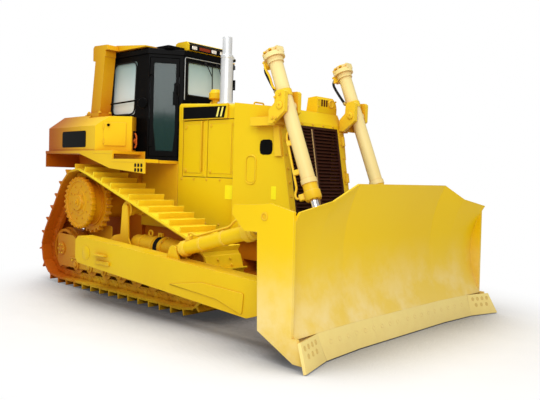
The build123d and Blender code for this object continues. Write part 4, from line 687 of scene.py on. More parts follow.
# painted shade: a deeper orange than the body yellow for the drums, which stand in shade, and browner
# towards the back
drive_paint = enamel("drive enamel", colour=rgb(0.9, 0.66, 0.04), dust=0.05, gloss=0.4, edge_wear_and_highlight=0.25,
                     grime_and_rear_shade=0.3, rear=0.3, crevice_shade=0.9, reach=(-2.6, -1.2), painted_rear_shade=0.35)
dress(drive_paint, *pair("final_drive"))
hub_x, hub_z = -1.875, 1.198
rim_radius, rim_count = 0.341, 28
rim_bosses = studs(circle((hub_x, 1.174, hub_z), FORWARD, UP, rim_radius, rim_count), LEFT,
                   ((0.024, -0.002), (0.027, 0.004), (0.027, 0.06), (0.022, 0.068)), 14)
plug = studs((hub_x, 1.256, hub_z), LEFT,
             ((0.06, 0.0), (0.06, 0.008), (0.05, 0.014), (0.022, 0.014), (0.022, 0.026), (0.016, 0.03)), 20)
piece("drive_rim_bosses", both(rim_bosses, plug), drive_paint)
piece("drive_bolts",
      both(bolts(circle((hub_x, 1.242, hub_z), FORWARD, UP, rim_radius, rim_count), LEFT, 0.02),
           bolts(circle((hub_x, 1.222, hub_z), FORWARD, UP, 0.236, 10, 0.1), LEFT, 0.02),
           bolts(circle((hub_x, 1.232, hub_z), FORWARD, UP, 0.15, 8), LEFT, 0.018)), drive_paint)

# ------------------------------------------------------------------ push arms
# Two box-section arms of thick plate run outside the tracks to the blade. A doubling plate is
# welded over the outer side near the blade, and a ribbed tread plate makes a step on it.

# painted shade: darker towards the back, with grime low down
arm_paint = enamel("push arm enamel", colour=rgb(0.93, 0.79, 0.06), dust=0.2, gloss=0.34, grime_and_rear_shade=0.15,
                   rear=0.4, reach=(-2.2, 0.4))
dress(arm_paint, *pair("push_arm"))
arm_face = 1.6
doubling = rounded(((0.66, 0.435), (1.2, 0.525), (1.83, 0.5), (1.81, 0.285), (1.43, 0.385)), 0.03, 3)
step_plate = rect(-0.8, 0.487, -0.5, 0.537, 0.01, 2)
tread_xs = np.linspace(-0.785, -0.515, 10)
treads = repeated(slab(rect(-0.009, -0.004, 0.009, 0.004), 0, 0.004, level_face(0), 0.001),
                  np.concatenate([np.stack([tread_xs, np.full(10, arm_face + 0.024), np.full(10, z)], 1)
                                  for z in (0.5, 0.524)]), (0.77, 0, 0.64), (-0.64, 0, 0.77), LEFT)
trunnion_x, trunnion_z = -1.05, 0.6
trunnion_cap = studs((trunnion_x, arm_face, trunnion_z), LEFT,
                     ((0.092, 0.0005), (0.092, 0.004), (0.086, 0.007)), 32)
arm_parts = (slab(doubling, -0.002, 0.012, side_face(arm_face), 0.004),
             slab(step_plate, -0.002, 0.024, side_face(arm_face), 0.003), treads, trunnion_cap)
for hand in hands:
    piece("push_arm_plates_" + hand, on_side(hand, *arm_parts), arm_paint, hand + "_arm")

# ------------------------------------------------------------------ blade
# A rolled mouldboard between two end plates, with straight wings. The cutting edge and end bits
# are hardened bars held by flush square-necked bolts. Towards the foot the paint is paler: scuffs and
# painted reflection.


def seated(node, points, direction):
    """Where rays from these points along a direction first meet a CAD node, and the outward normal
    at each place."""
    bpy.context.view_layer.update()
    direction = Vector(direction).normalized()
    found = [nodes[node].ray_cast(Vector(point), direction) for point in points]
    return (np.array([place for hit, place, _, _ in found if hit]).reshape(-1, 3),
            np.array([normal for hit, _, normal, _ in found if hit]).reshape(-1, 3))


# paler towards the foot: scuffing and painted reflection of the floor
dress(enamel("blade enamel", colour=rgb(0.93, 0.785, 0.07), deep=rgb(0.92, 0.75, 0.03), dust=0.0, gloss=0.3,
             pale=(1.1, 1.0), crevice_shade=0.3), "blade")
# painted reflection: the cutting edge and end bits are pale cream, part wear and part the white floor
# mirrored in them
edge_paint = enamel("edge enamel", colour=rgb(0.97, 0.9, 0.58), deep=rgb(0.95, 0.86, 0.5), dust=0.5,
                    gloss=0.42, edge_wear_and_highlight=0.7, grime_and_rear_shade=0.1, crevice_shade=0.4)
dress(edge_paint, "cutting_edge", "end_bits")
flush = ((0.024, -0.004), (0.024, 0.0015), (0.019, 0.003), (0.017, 0.0005), (0.01, 0.0005))
ray_start_x = 3.4
edge_ys = np.concatenate([np.arange(-1.32, -0.1, 0.152), np.arange(0.1, 1.33, 0.152)])
edge_seats, edge_normals = seated("cutting_edge", [(ray_start_x, y, 0.155) for y in edge_ys], (-1, 0, 0))
bit_bolts = ((1.575, 0.195), (1.655, 0.195), (1.735, 0.195), (1.815, 0.195), (1.6, 0.125), (1.69, 0.125),
             (1.78, 0.125))
bit_rows = [(ray_start_x, side * y, z) for side in (1, -1) for y, z in bit_bolts]
bit_seats, bit_normals = seated("end_bits", bit_rows, (-1, 0, 0))
piece("edge_bolts", [studs(edge_seats, edge_normals, flush, 14)], edge_paint, "blade")
piece("end_bit_bolts", [studs(bit_seats, bit_normals, flush, 14)],
      satin("edge bolt steel", rgb(0.8, 0.69, 0.4), 0.5), "blade")
ear = studs((2.318, 1.862, 1.3), LEFT,
            ((0.04, -0.002), (0.04, 0.006), (0.034, 0.009), (0.026, 0.009), (0.024, 0.001), (0.008, 0.001)),
            24)
piece("blade_ears", both(ear), bolt_paint, "blade")

# ------------------------------------------------------------------ lift cylinders
# Two long hydraulic cylinders hang in trunnions on the radiator guard. Welded barrels with bolted
# heads, steel oil pipes clamped to them, a short black hose behind each, and chromed rods.

# painted highlight: the barrels are cream, paler than the body yellow, for the bright light on their round
# gloss tops
cylinder_paint = enamel("cylinder enamel", colour=rgb(0.935, 0.86, 0.6), deep=rgb(0.92, 0.82, 0.5),
                        dust=0.35, gloss=0.28, crevice_shade=0.8)
cylinder_trim = enamel("cylinder trim enamel", colour=rgb(0.945, 0.8, 0.2), dust=0.3, gloss=0.32, edge_wear_and_highlight=0.7,
                       crevice_shade=0.7)
chrome = satin("hard chrome", rgb(0.86, 0.86, 0.87), 0.12, 1.0)
hose_rubber = satin("hose rubber", rgb(0.09, 0.09, 0.09), 0.45, grain=300.0)
dress(cylinder_paint, *pair("lift_barrel"))
yoke_paint = enamel("yoke enamel", colour=rgb(0.955, 0.81, 0.18), deep=rgb(0.93, 0.75, 0.08), crevice_shade=0.8)
dress(yoke_paint, "lift_yokes")
dress(chrome, *pair("lift_rod"))
pin_place = np.array([1.5, 0.66, 2.44])
down = np.array([0.82, 0, -2.02]) / math.hypot(0.82, 2.02)
ahead_of = np.array([-down[2], 0, down[0]])


def on_lift(along, out=0.0, ahead=0.0):
    """A point of the left lift cylinder: along it from its trunnion, outwards from the machine's
    middle, and ahead of its axis."""
    return pin_place + down * along + np.array([0, out, 0]) + ahead_of * ahead


cap = studs(on_lift(0), down,
            ((0.03, -0.668), (0.086, -0.662), (0.096, -0.65), (0.096, -0.62), (0.081, -0.6)), 40)
collar = studs(on_lift(0), down,
               ((0.0815, 0.905), (0.0815, 0.998), (0.094, 1.004), (0.094, 1.084), (0.086, 1.098),
                (0.06, 1.106), (0.0435, 1.106), (0.0435, 0.926), (0.078, 0.921)), 40, bored=True)
band = studs(on_lift(0), down, ((0.0795, -0.19), (0.09, -0.184), (0.09, -0.11), (0.0795, -0.104)), 40,
             bored=True)
sideways = np.array([0, 0.62, 0]) - ahead_of * 0.785
level = np.array([0, 0.785, 0]) + ahead_of * 0.62
port_low = slab(rect(-0.034, -0.036, 0.034, 0.036, 0.012, 3), 0.088, 0.15,
                (on_lift(1.045), level, down, sideways), 0.006)
port_high = slab(rect(-0.045, -0.05, 0.045, 0.05, 0.014, 3), 0.07, 0.15,
                 (on_lift(-0.575), LEFT, down, -ahead_of), 0.008)
fitting = studs(on_lift(-0.215, 0, -0.078), -ahead_of,
                ((0.03, -0.01), (0.03, 0.014), (0.02, 0.018), (0.02, 0.03)), 12)
pipe_path = rounded((on_lift(1.045, 0.09, -0.114), on_lift(1.045, 0.112, -0.142),
                     on_lift(0.985, 0.112, -0.142), on_lift(0.94, 0.092, -0.116),
                     on_lift(0.33, 0.064, -0.081), on_lift(0.28, 0.042, -0.055)), 0.04, 6, closed=False)
pipe = tube(pipe_path, 0.0135, 12)
clips = [slab(rect(-0.03, -0.022, 0.03, 0.022, 0.008, 2), 0.072, tall, (on_lift(at), down, level, sideways),
              0.004) for at, tall in ((0.42, 0.125), (0.76, 0.145))]
upper_pipe = tube(rounded((on_lift(-0.575, 0.045, -0.13), on_lift(-0.5, 0.065, -0.115),
                           on_lift(-0.4, 0.062, -0.088), on_lift(-0.26, 0.062, -0.086),
                           on_lift(-0.235, 0.055, -0.05)), 0.04, 6, closed=False), 0.0135, 12)
hose_path = rounded((on_lift(-0.575, -0.012, -0.145), on_lift(-0.545, -0.012, -0.195),
                     on_lift(-0.43, -0.01, -0.172), on_lift(-0.3, -0.004, -0.135),
                     on_lift(-0.215, 0.0, -0.106)), 0.09, 8, closed=False)
ferrules = [studs(end, inwards - end, ((0.02, -0.004), (0.023, 0.002), (0.023, 0.03), (0.018, 0.034)), 12)
            for end, inwards in ((hose_path[0], hose_path[2]), (hose_path[-1], hose_path[-4]))]
head_bolts = (bolts(circle(on_lift(-0.664), LEFT, ahead_of, 0.107, 8, 0.39), -down, 0.03),
              bolts(circle(on_lift(1.098), LEFT, ahead_of, 0.072, 8), down, 0.02),
              bolts([on_lift(-0.575 + a, b, -0.15) for a in (-0.034, 0.034) for b in (-0.03, 0.03)],
                    -ahead_of, 0.02))
zinc = satin("zinc fitting", rgb(0.72, 0.66, 0.45), 0.35, 0.7)
for hand in hands:
    body = "lift_barrel_" + hand
    piece("lift_head_" + hand, on_side(hand, cap, collar, band, port_low, port_high, fitting),
          cylinder_trim, body)
    piece("lift_bolts_" + hand, on_side(hand, *head_bolts), bolt_paint, body)
    piece("lift_pipes_" + hand, on_side(hand, pipe, upper_pipe, *clips), cylinder_trim, body)
    piece("lift_hose_" + hand, on_side(hand, tube(hose_path, 0.0165, 14)), hose_rubber, body)
    piece("lift_hose_ends_" + hand, on_side(hand, *ferrules), zinc, body)
yoke_x, yoke_face, yoke_z = 1.5, 0.802, 2.44
pin_end = ((0.044, -0.003), (0.044, 0.008), (0.036, 0.013), (0.012, 0.013), (0.01, 0.006))
cheek_bolts = np.array([(x, yoke_face, z) for x, z in ((1.43, 2.53), (1.5, 2.56), (1.4, 2.3), (1.45, 2.3))])
piece("yoke_pins", both(studs((yoke_x, yoke_face, yoke_z), LEFT, pin_end, 24),
                        studs((yoke_x, 0.518, yoke_z), (0, -1, 0), pin_end, 24)), yoke_paint)
piece("yoke_bolts", both(bolts(cheek_bolts, LEFT, 0.026)), bolt_paint)

# ------------------------------------------------------------------ tilt cylinder and brace
# The right push arm's strut is a hydraulic cylinder that tips the blade; the left one is a fixed
# tube of the same kind. Welded barrels with cast eyes, a bolted gland and clamped oil pipes.

dress(arm_paint, "tilt_barrel", "tilt_brace")
dress(chrome, "tilt_rod")
tilt_pin = np.array([0.62, 1.465, 0.79])
reach = np.array([1.56, 0, 0.425]) / math.hypot(1.56, 0.425)
above = np.array([-reach[2], 0, reach[0]])


def on_tilt(along, out=0.0, up=0.0):
    """A point of the left strut: along it from its rear pin, outwards, and above its axis."""
    return tilt_pin + reach * along + np.array([0, out, 0]) + above * up


gland = studs(on_tilt(0), reach,
              ((0.0775, 1.13), (0.104, 1.135), (0.104, 1.2), (0.092, 1.215), (0.092, 1.254), (0.06, 1.262),
               (0.0415, 1.262), (0.0415, 1.254), (0.0775, 1.252)), 36, bored=True)
base = studs(on_tilt(0), reach, ((0.0775, 0.114), (0.09, 0.12), (0.09, 0.185), (0.0775, 0.2)), 36,
             bored=True)
tilt_ports = [slab(rect(-0.035, -0.032, 0.035, 0.032, 0.012, 3), 0.07, 0.12,
                   (on_tilt(at), reach, LEFT, above), 0.006) for at in (0.235, 1.085)]
tilt_pipe = tube(rounded((on_tilt(1.085, 0, 0.118), on_tilt(1.085, 0, 0.15), on_tilt(0.98, 0.0, 0.15),
                          on_tilt(0.9, 0.0, 0.102), on_tilt(0.36, 0.0, 0.102), on_tilt(0.3, 0.0, 0.15),
                          on_tilt(0.235, 0, 0.15), on_tilt(0.235, 0, 0.118)), 0.04, 6, closed=False),
                 0.0125, 12)
straps = [studs(on_tilt(at), reach, ((0.0775, -0.018), (0.083, -0.014), (0.083, 0.014), (0.0775, 0.018)),
                36, bored=True) for at in (0.45, 0.8)]
gland_bolts = circle(on_tilt(1.2), LEFT, above, 0.086, 8, 0.3)
piece("tilt_gland", on_side("right", gland, base, *tilt_ports, *straps), cylinder_trim, "tilt_barrel")
piece("tilt_pipe", on_side("right", tilt_pipe), cylinder_trim, "tilt_barrel")
piece("tilt_bolts", on_side("right", bolts(gland_bolts, reach, 0.022)), bolt_paint, "tilt_barrel")
brace_rings = [studs(on_tilt(at), reach, ((0.0615, -0.03), (0.076, -0.026), (0.076, 0.026), (0.0615, 0.03)),
                     36) for at in (0.16, 1.1, 1.3)]
piece("brace_rings", brace_rings, cylinder_trim, "tilt_brace")

# ------------------------------------------------------------------ engine housing
# Pressed steel hood and doors over the engine. A folded band carries a black strip with two pale
# bars; each rear door has a tall bar and two turn latches. All sheet is spot welded and painted.

dress(body_paint, "hood", "side_panels", *pair("engine_door_front", "engine_door_rear"))
dress(satin("engine casting", rgb(0.42, 0.33, 0.14), 0.5), "engine_block")
gloss_black = satin("gloss black vinyl", rgb(0.02, 0.02, 0.024), 0.25, grain=30.0, edge=0.001, shine=0.04)
stripe_cream = satin("cream vinyl", rgb(0.97, 0.88, 0.45), 0.3, grain=30.0, edge=0.001)
band_face = side_face(0.524)
strip = slab(((-0.472, 2.378), (0.322, 2.373), (0.36, 2.518), (-0.472, 2.535)), 0.0, 0.0022, band_face,
             0.0006)
bars = [slab(((x, 2.388), (x + 0.03, 2.388), (x + 0.066, 2.508), (x + 0.036, 2.508)), 0.001, 0.0034,
             band_face, 0.0006) for x in (0.176, 0.248)]
piece("band_strip", both(strip), gloss_black)
piece("band_bars", both(*bars), stripe_cream)


def bar_handle(points, radius, stand):
    """A bent round bar: it leaves the sheet at its first point, runs outwards, along and back."""
    first, last = np.asarray(points[0], float), np.asarray(points[1], float)
    out = np.array([0, stand, 0])
    return tube(rounded((first, first + out, last + out, last), 0.03, 5, closed=False), radius, 12)


door_face = 0.506
door_bar = bar_handle(((-0.092, door_face - 0.002, 1.7), (-0.092, door_face - 0.002, 2.335)), 0.01, 0.024)
latches = studs([(-0.425, door_face, z) for z in (1.7, 2.27)], LEFT,
                ((0.026, -0.002), (0.026, 0.006), (0.021, 0.01), (0.008, 0.01), (0.008, 0.006)), 20)
stops = studs([(x, door_face, z) for x in (0.07, 0.49) for z in (1.69, 2.28)], LEFT,
              ((0.02, -0.002), (0.02, 0.007), (0.015, 0.011)), 16)
for hand in hands:
    piece("rear_door_bar_" + hand, on_side(hand, door_bar, latches), bolt_paint, "engine_door_rear_" + hand)
    piece("front_door_studs_" + hand, on_side(hand, stops), bolt_paint, "engine_door_front_" + hand)
sheet_y, guard_y = 0.5, 0.59
blank_plate = slab(rect(0.352, 1.352, 0.536, 1.526, 0.01, 2), -0.001, 0.003, side_face(sheet_y), 0.001)
label_yellow = satin("bright yellow vinyl", rgb(0.98, 0.9, 0.1), 0.3, grain=30.0, edge=0.001)
guard_label = slab(rect(1.222, 1.39, 1.3, 1.543, 0.008, 2), -0.001, 0.003, side_face(guard_y), 0.001)
piece("blank_labels", both(blank_plate, guard_label), label_yellow)
panel_bolts = np.array([(x, sheet_y, z) for x in (-0.5, -0.25, 0.0, 0.25, 0.5) for z in (1.585, 1.02)])
piece("sheet_bolts", both(bolts(panel_bolts, LEFT, 0.022)), bolt_paint)
lifting_bars = [tube(rounded([(x, y, z - x * 0.052)
                              for y, z in ((-0.09, 2.565), (-0.09, 2.625), (0.09, 2.625), (0.09, 2.565))],
                             0.03, 5, closed=False), 0.011, 12) for x in (-0.42, 0.42)]
piece("hood_lifting_bars", lifting_bars, bolt_paint)

# ------------------------------------------------------------------ radiator guard and grille
# A heavy welded frame round the radiator, with thick cheeks and a sloping front. Its opening is
# barred by folded steel louvres, painted dark, with a centre rod; hinges stand at its left edge.

guard_paint = enamel("guard enamel", colour=rgb(0.94, 0.815, 0.1), dust=0.25, crevice_shade=0.7)
dress(guard_paint, "radiator_guard", "radiator_cap_box")
louvre = satin("louvre brown", rgb(0.2, 0.085, 0.05), 0.35, grain=40.0, edge=0.004)
dress(louvre, "grille")
dress(satin("core black", rgb(0.05, 0.04, 0.035), 0.6), "radiator_core")


def guard_x(z, ahead=0.0):
    """The guard's sloping front at a height, and this far ahead of it."""
    return 1.325 + (2.31 - z) * 0.18794 + ahead


front_normal = np.array([1, 0, 0.18794]) / math.hypot(1, 0.18794)
edge_zs = np.linspace(1.12, 2.22, 8)
rim_bolts = np.concatenate([np.stack([guard_x(edge_zs), np.full(8, y), edge_zs], 1)
                            for y in (-0.542, 0.542)]
                           + [np.stack([np.full(5, guard_x(2.292)), np.linspace(-0.4, 0.4, 5),
                                        np.full(5, 2.292)], 1)])
piece("guard_rim_bolts", [bolts(rim_bolts, front_normal, 0.024)], bolt_paint)
rod_zs = np.linspace(2.25, 1.08, 8)
centre_rod = tube(np.stack([guard_x(rod_zs, -0.014), np.full(8, -0.015), rod_zs], 1), 0.009, 10)
piece("grille_rods", [centre_rod], satin("rod khaki", rgb(0.66, 0.55, 0.36), 0.4))
hinge_zs = (2.12, 1.66, 1.2)
hinges = [studs((guard_x(z, 0.012), 0.565, z), (0.18, 0, -1),
                ((0.02, -0.06), (0.024, -0.055), (0.024, 0.055), (0.02, 0.06)), 14) for z in hinge_zs]
leaves = [slab(rect(-0.028, -0.05, 0.028, 0.05, 0.01, 2), -0.002, 0.01,
               ((guard_x(z), 0.535, z), LEFT, (-0.1847, 0, 0.9828), front_normal), 0.003) for z in hinge_zs]
piece("guard_hinges", [*hinges, *leaves], bolt_paint)
grip_path = rect(0.8, 1.56, 0.965, 1.895, 0.075, 6)
pocket = slab(rect(0.815, 1.575, 0.95, 1.88, 0.06, 6), 0.0, 0.0025, side_face(guard_y), 0.001)
piece("guard_pockets", both(tube(upright(grip_path, guard_y), 0.01, 8, closed=True), pocket), guard_paint)
octagon = rect(1.022, 1.905, 1.224, 2.082, 0.055, 2)
piece("blank_badges", both(slab(octagon, 0.0, 0.004, side_face(guard_y), 0.0012)), gloss_black)
cap_box_face = 1.24
# painted shade: thin dark plates for the shade inside the slots
slots = [slab(rect(y, 2.545, y + 0.03, 2.63, 0.01, 2), 0.0, 0.003, front_face(cap_box_face), 0.001)
         for y in (0.262, 0.31, 0.358)]
piece("cap_box_slots", slots, satin("painted slot shade", rgb(0.3, 0.12, 0.05), 0.6))
lamp_ring = studs((cap_box_face, 0.455, 2.588), FORWARD,
                  ((0.05, -0.002), (0.05, 0.012), (0.044, 0.016), (0.038, 0.01), (0.012, 0.004)), 24)
piece("cap_box_lamp", [lamp_ring], cylinder_trim)
cap_box_bolts = np.array([(cap_box_face, y, z) for y in (0.215, 0.555) for z in (2.54, 2.625)])
piece("cap_box_bolts", [bolts(cap_box_bolts, FORWARD, 0.018)], bolt_paint)

# ------------------------------------------------------------------ exhaust and air cleaner
# A silver heat-proofed stack in two sizes of tube stands on a flange, clamped at its step, and
# open at the top. Beside it is the domed lid of the air precleaner, spun from sheet.

stack_x, stack_y = 0.13, -0.32
stack = ((0.1, 2.555), (0.112, 2.56), (0.112, 2.58), (0.088, 2.59), (0.08, 2.615), (0.078, 3.155),
         (0.082, 3.16), (0.082, 3.19), (0.078, 3.194), (0.064, 3.204), (0.0625, 3.215), (0.0625, 3.42),
         (0.06, 3.425), (0.056, 3.42), (0.056, 3.22))
pipe_paint = satin("heat-proof silver", rgb(0.8, 0.81, 0.82), 0.36, 0.45, grain=50.0, shine=0.5)
stack_piece = piece("exhaust_pipe", [studs((stack_x, stack_y, 0), UP, stack, 40)], pipe_paint)
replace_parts(stack_piece, "exhaust_stack")
flange_bolts = bolts(circle((stack_x, stack_y, 2.58), FORWARD, LEFT, 0.101, 6), UP, 0.018)
clamp_lug = slab(rect(-0.02, -0.018, 0.03, 0.018), -0.006, 0.006,
                 ((stack_x, stack_y + 0.098, 3.175), LEFT, UP, FORWARD), 0.002)
piece("exhaust_fixings", [flange_bolts, clamp_lug], pipe_paint)
dress(guard_paint, "air_precleaner")
piece("precleaner_band",
      [studs((-0.27, -0.13, 2.72), UP, ((0.055, -0.012), (0.066, -0.01), (0.066, 0.01), (0.055, 0.012)),
             28)], bolt_paint)

# ------------------------------------------------------------------ fenders, tank and side boxes
# Folded tread plate over the tracks, and the fuel tank across the back with lockers ahead of it.
# Welded sheet with lap seams; a blank black plate, hinged doors, filler caps and cooling slots.

# painted shade: the tank, boxes and deck turn brown towards the back and in their hollows
rear_paint = enamel("rear body enamel", colour=rgb(0.97, 0.8, 0.12), reach=(-2.95, -1.3), painted_rear_shade=1.0,
                    dust=0.08, crevice_shade=0.9)
dress(rear_paint, "fenders", "fuel_tank", "side_boxes", "cab_platform")
deck_riser = slab(rect(-1.84, 1.822, -0.93, 1.935), 0.0, 0.01, side_face(0.792), 0.003)
piece("deck_risers", both(deck_riser), rear_paint)
cradle = slab(rounded(((-2.72, 1.64), (-2.05, 1.6), (-2.05, 1.89), (-2.8, 1.89)), 0.04, 3), 0.0, 0.018,
              side_face(0.672), 0.004)
piece("tank_cradles", both(cradle), rear_paint)
# painted shade: flat dark plates for the shade inside the vent openings
vents = [slab(rect(x, z, x + 0.04, z + 0.044, 0.008, 2), 0.0, 0.0025, side_face(1.2635), 0.001)
         for x in (-0.512, -0.448, -0.384) for z in (1.66, 1.72)]
piece("fender_vents", both(*vents), satin("painted vent shade", rgb(0.06, 0.045, 0.03), 0.6))
tank_along = np.array([1.45, 0.11, 0]) / math.hypot(1.45, 0.11)
tank_out = np.array([-0.11, 1.45, 0]) / math.hypot(1.45, 0.11)
tank_face = ((-2.9, 1.14, 0), tank_along, UP, tank_out)
black_plate = slab(rect(0.464, 1.978, 1.192, 2.208, 0.035, 4), -0.001, 0.004, tank_face, 0.0015)
piece("blank_tank_plates", both(black_plate), gloss_black)
seam = slab(rect(0.02, 1.945, 1.44, 1.957), -0.002, 0.004, tank_face, 0.002)
locker_along = np.array([0.43, -0.295, 0]) / math.hypot(0.43, 0.295)
locker_out = np.array([0.295, 0.43, 0]) / math.hypot(0.43, 0.295)
locker_edge = np.array((-1.45, 1.25, 0))
locker_face = (locker_edge, locker_along, UP, locker_out)
locker_door = slab(rect(0.124, 1.998, 0.442, 2.318, 0.02, 3), -0.001, 0.009, locker_face, 0.004)
locker_knob = studs(locker_edge + locker_along * 0.196 + (0, 0, 2.279) + locker_out * 0.008, locker_out,
                    ((0.018, -0.002), (0.018, 0.006), (0.01, 0.01), (0.01, 0.02), (0.016, 0.024),
                     (0.014, 0.03)), 16)
locker_hinges = studs([locker_edge + locker_along * 0.124 + (0, 0, z) + locker_out * 0.01
                       for z in (2.06, 2.26)], UP, ((0.009, -0.03), (0.009, 0.03)), 10)
piece("locker_doors", both(locker_door, seam, locker_hinges), rear_paint)
black_satin = satin("black satin", rgb(0.012, 0.012, 0.014), 0.3, grain=40.0, shine=0.035)
piece("locker_knobs", both(locker_knob), black_satin)
cap_place = (-2.45, 0.72, 2.44)
filler_cap = studs(cap_place, UP,
                   ((0.085, -0.002), (0.085, 0.01), (0.07, 0.012), (0.07, 0.045), (0.062, 0.052),
                    (0.03, 0.054)), 28)
cap_bar = slab(rect(-0.06, -0.012, 0.06, 0.012), 0.05, 0.072, (cap_place, FORWARD, LEFT, UP), 0.003)
piece("tank_caps", both(filler_cap, cap_bar), bolt_paint)
(foot, top), (out, _) = seated("side_boxes", [(0.0, 0.875, z) for z in (2.0, 2.2)], (-1, 0, 0))
up = (top - foot) / np.linalg.norm(top - foot)
recess = slab(rect(-0.058, -0.05, 0.058, 0.21, 0.012, 2), -0.001, 0.004, (foot, np.cross(up, out), up, out),
              0.0015)
valve = studs(foot + out * 0.004 + up * 0.075, out,
              ((0.034, -0.002), (0.034, 0.016), (0.024, 0.02), (0.016, 0.03)), 18)
valve_pipe = tube(rounded([foot + out * a + up * b
                           for a, b in ((0.01, -0.02), (0.03, 0.02), (0.03, 0.14), (0.01, 0.18))], 0.02, 4,
                          closed=False), 0.013, 10)
# painted shade: a dark brown plate for the shade in the locker recess
piece("locker_recesses", both(recess), satin("painted recess shade", rgb(0.2, 0.08, 0.04), 0.5))
piece("locker_valves", both(valve, valve_pipe), satin("warm brass", rgb(0.8, 0.4, 0.16), 0.35, 0.5))

# ------------------------------------------------------------------ cab
# A black pressed-steel cab with rubber-sealed glass all round. It has a raised roof cover, a lamp box
# over the windshield, two wipers, a door on each side with an oval latch, and bolted grab bars.

dress(black_satin, "cab_shell", "cab_controls", "cab_roof", *pair("cab_door"))
dress(body_paint, "roof_air_box")
roof_z, windshield_x, cab_y = 3.33, -0.596, 0.79
roof_cover = slab(rect(-1.21, -0.64, -0.68, 0.64, 0.04, 4), -0.004, 0.042, level_face(roof_z), 0.01)
piece("roof_cover", [roof_cover], black_satin)
lamp_panel = slab(rect(-0.345, 3.338, 0.345, 3.413, 0.012, 3), 0.0, 0.008, front_face(windshield_x), 0.002)
visor_place = ((windshield_x, 0, 3.415), LEFT, (-0.699, 0, 0.715), (0.715, 0, 0.699))
visor_panel = slab(rect(-0.34, 0.0, 0.34, 0.046), 0.0, 0.004, visor_place, 0.0015)
piece("lamp_panel", [lamp_panel, visor_panel], gloss_black)
lamps = [slab(rect(y - 0.045, 3.356, y + 0.045, 3.402, 0.008, 2), 0.006, 0.014, front_face(windshield_x),
              0.003) for y in (-0.26, 0.1, 0.26)]
piece("roof_lamps", lamps, satin("lamp glass", rgb(0.86, 0.84, 0.8), 0.15, 0.3))
amber_strip = slab(rect(-0.17, 3.358, 0.03, 3.4), 0.006, 0.011, front_face(windshield_x), 0.002)
piece("lamp_reflector", [amber_strip], satin("amber plastic", rgb(0.48, 0.17, 0.06), 0.3))
trim_x, seal_x = -0.612, -0.616
trim_corners = ((-0.398, 2.66), (-0.398, 3.236), (0.398, 3.236), (0.398, 2.66))
front_trim = rounded([(trim_x, y, z) for y, z in trim_corners], 0.03, 4, closed=False)
piece("windshield_trim", [tube(front_trim, 0.006, 8)], satin("grey rubber", rgb(0.62, 0.63, 0.63), 0.5))
seal_path = rounded([(seal_x, y, z) for y, z in rect(-0.345, 2.73, 0.345, 3.18)], 0.035, 4)
piece("windshield_seal", [tube(seal_path, 0.009, 8, closed=True)], rubber)
wipers = []
for shift in (0.0, 0.24):
    pivot = np.array([-0.606, -0.04 + shift * 0.9, 3.2])
    tip = np.array([-0.6, 0.09 + shift * 0.75, 3.03])
    wipers += [studs(pivot, FORWARD, ((0.02, -0.006), (0.02, 0.012), (0.012, 0.018)), 14),
               tube(rounded((pivot + (0.012, 0, 0), pivot + (0.016, 0.03, -0.04), tip), 0.02, 4,
                            closed=False), 0.006, 8),
               tube((tip + (0, -0.004, 0.16), tip + (0, 0.0, 0), tip + (0, 0.004, -0.22)), 0.007, 8)]
piece("wipers", wipers, rubber)
window_path = rounded(((-1.742, 2.455), (-1.205, 2.455), (-1.165, 3.17), (-1.7, 3.17)), 0.1, 6)
piece("side_window_seals", both(tube(upright(window_path, 0.792), 0.01, 8, closed=True)), rubber)
grab = tube(rounded(((-1.775, 0.79, 2.6), (-1.77, 0.838, 2.606), (-1.12, 0.838, 2.63),
                     (-1.075, 0.79, 2.632)), 0.03, 5, closed=False), 0.012, 12)
catch = [studs((-0.912, 0.868, 2.58), (0.25, 1, 0),
               ((0.03, -0.075), (0.03, -0.02), (0.07, -0.016), (0.074, -0.008), (0.074, 0.008),
                (0.066, 0.016), (0.02, 0.018)), 24),
         slab(rect(-1.1, 2.56, -1.035, 2.66, 0.018, 3), -0.004, 0.045, side_face(cab_y), 0.008),
         tube(((-1.07, 0.832, 2.615), (-1.0, 0.846, 2.595), (-0.912, 0.856, 2.58)), 0.014, 10)]
piece("cab_grab_bars", both(grab, *catch), black_satin)
door_along = np.array([0.28, -0.37, 0]) / math.hypot(0.28, 0.37)
door_out = np.array([0.37, 0.28, 0]) / math.hypot(0.37, 0.28)
leaf = np.array([-0.9, cab_y, 0])
seat = leaf + door_along * 0.385 + (0, 0, 2.78)
latch_plate = slab(rect(-0.042, -0.105, 0.034, 0.105, 0.038, 6), -0.002, 0.018,
                   (seat, door_along, UP, door_out), 0.006)
latch_grip = tube(rounded([seat + (0, 0, z) + door_out * out
                           for z, out in ((-0.06, 0.012), (-0.055, 0.045), (0.055, 0.045), (0.06, 0.012))],
                          0.02, 4, closed=False), 0.01, 10)
for hand in hands:
    piece("door_latch_" + hand, on_side(hand, latch_plate, latch_grip), black_satin, "cab_door_" + hand)

# ------------------------------------------------------------------ glass
# Flat tinted safety glass in black rubber. Its colour runs from dark blue-green low down to a
# light grey-green above: the glass's tint and a painted reflection of the pale studio.


def glass_with_painted_reflection(name, low, high, foot, top):
    """Safety glass whose colour, its tint and a painted reflection, runs evenly from one colour at the foot
    to another at the top.
    """
    pane = Finish(name)
    climb = pane.ramp(pane.along(2), foot, top)
    cloud = pane.noise(2.4, 3.0, 0.6)
    reflection_tone = pane.mix(climb * 0.85 + cloud * 0.15, low, high)
    return pane.principled({"Base Color": reflection_tone, "Roughness": 0.08, "Alpha": 0.86,
                            "Specular IOR Level": 0.25, "Coat Weight": 0.08, "Coat Roughness": 0.05})


dress(glass_with_painted_reflection("door glass painted reflection", rgb(0.07, 0.21, 0.2), rgb(0.16, 0.25, 0.25), 2.0, 3.15),
      *pair("door_glass"))
dress(glass_with_painted_reflection("cab glass painted reflection", rgb(0.96, 1.0, 1.0), rgb(0.6, 0.72, 0.72), 2.45, 3.25), "cab_glass")

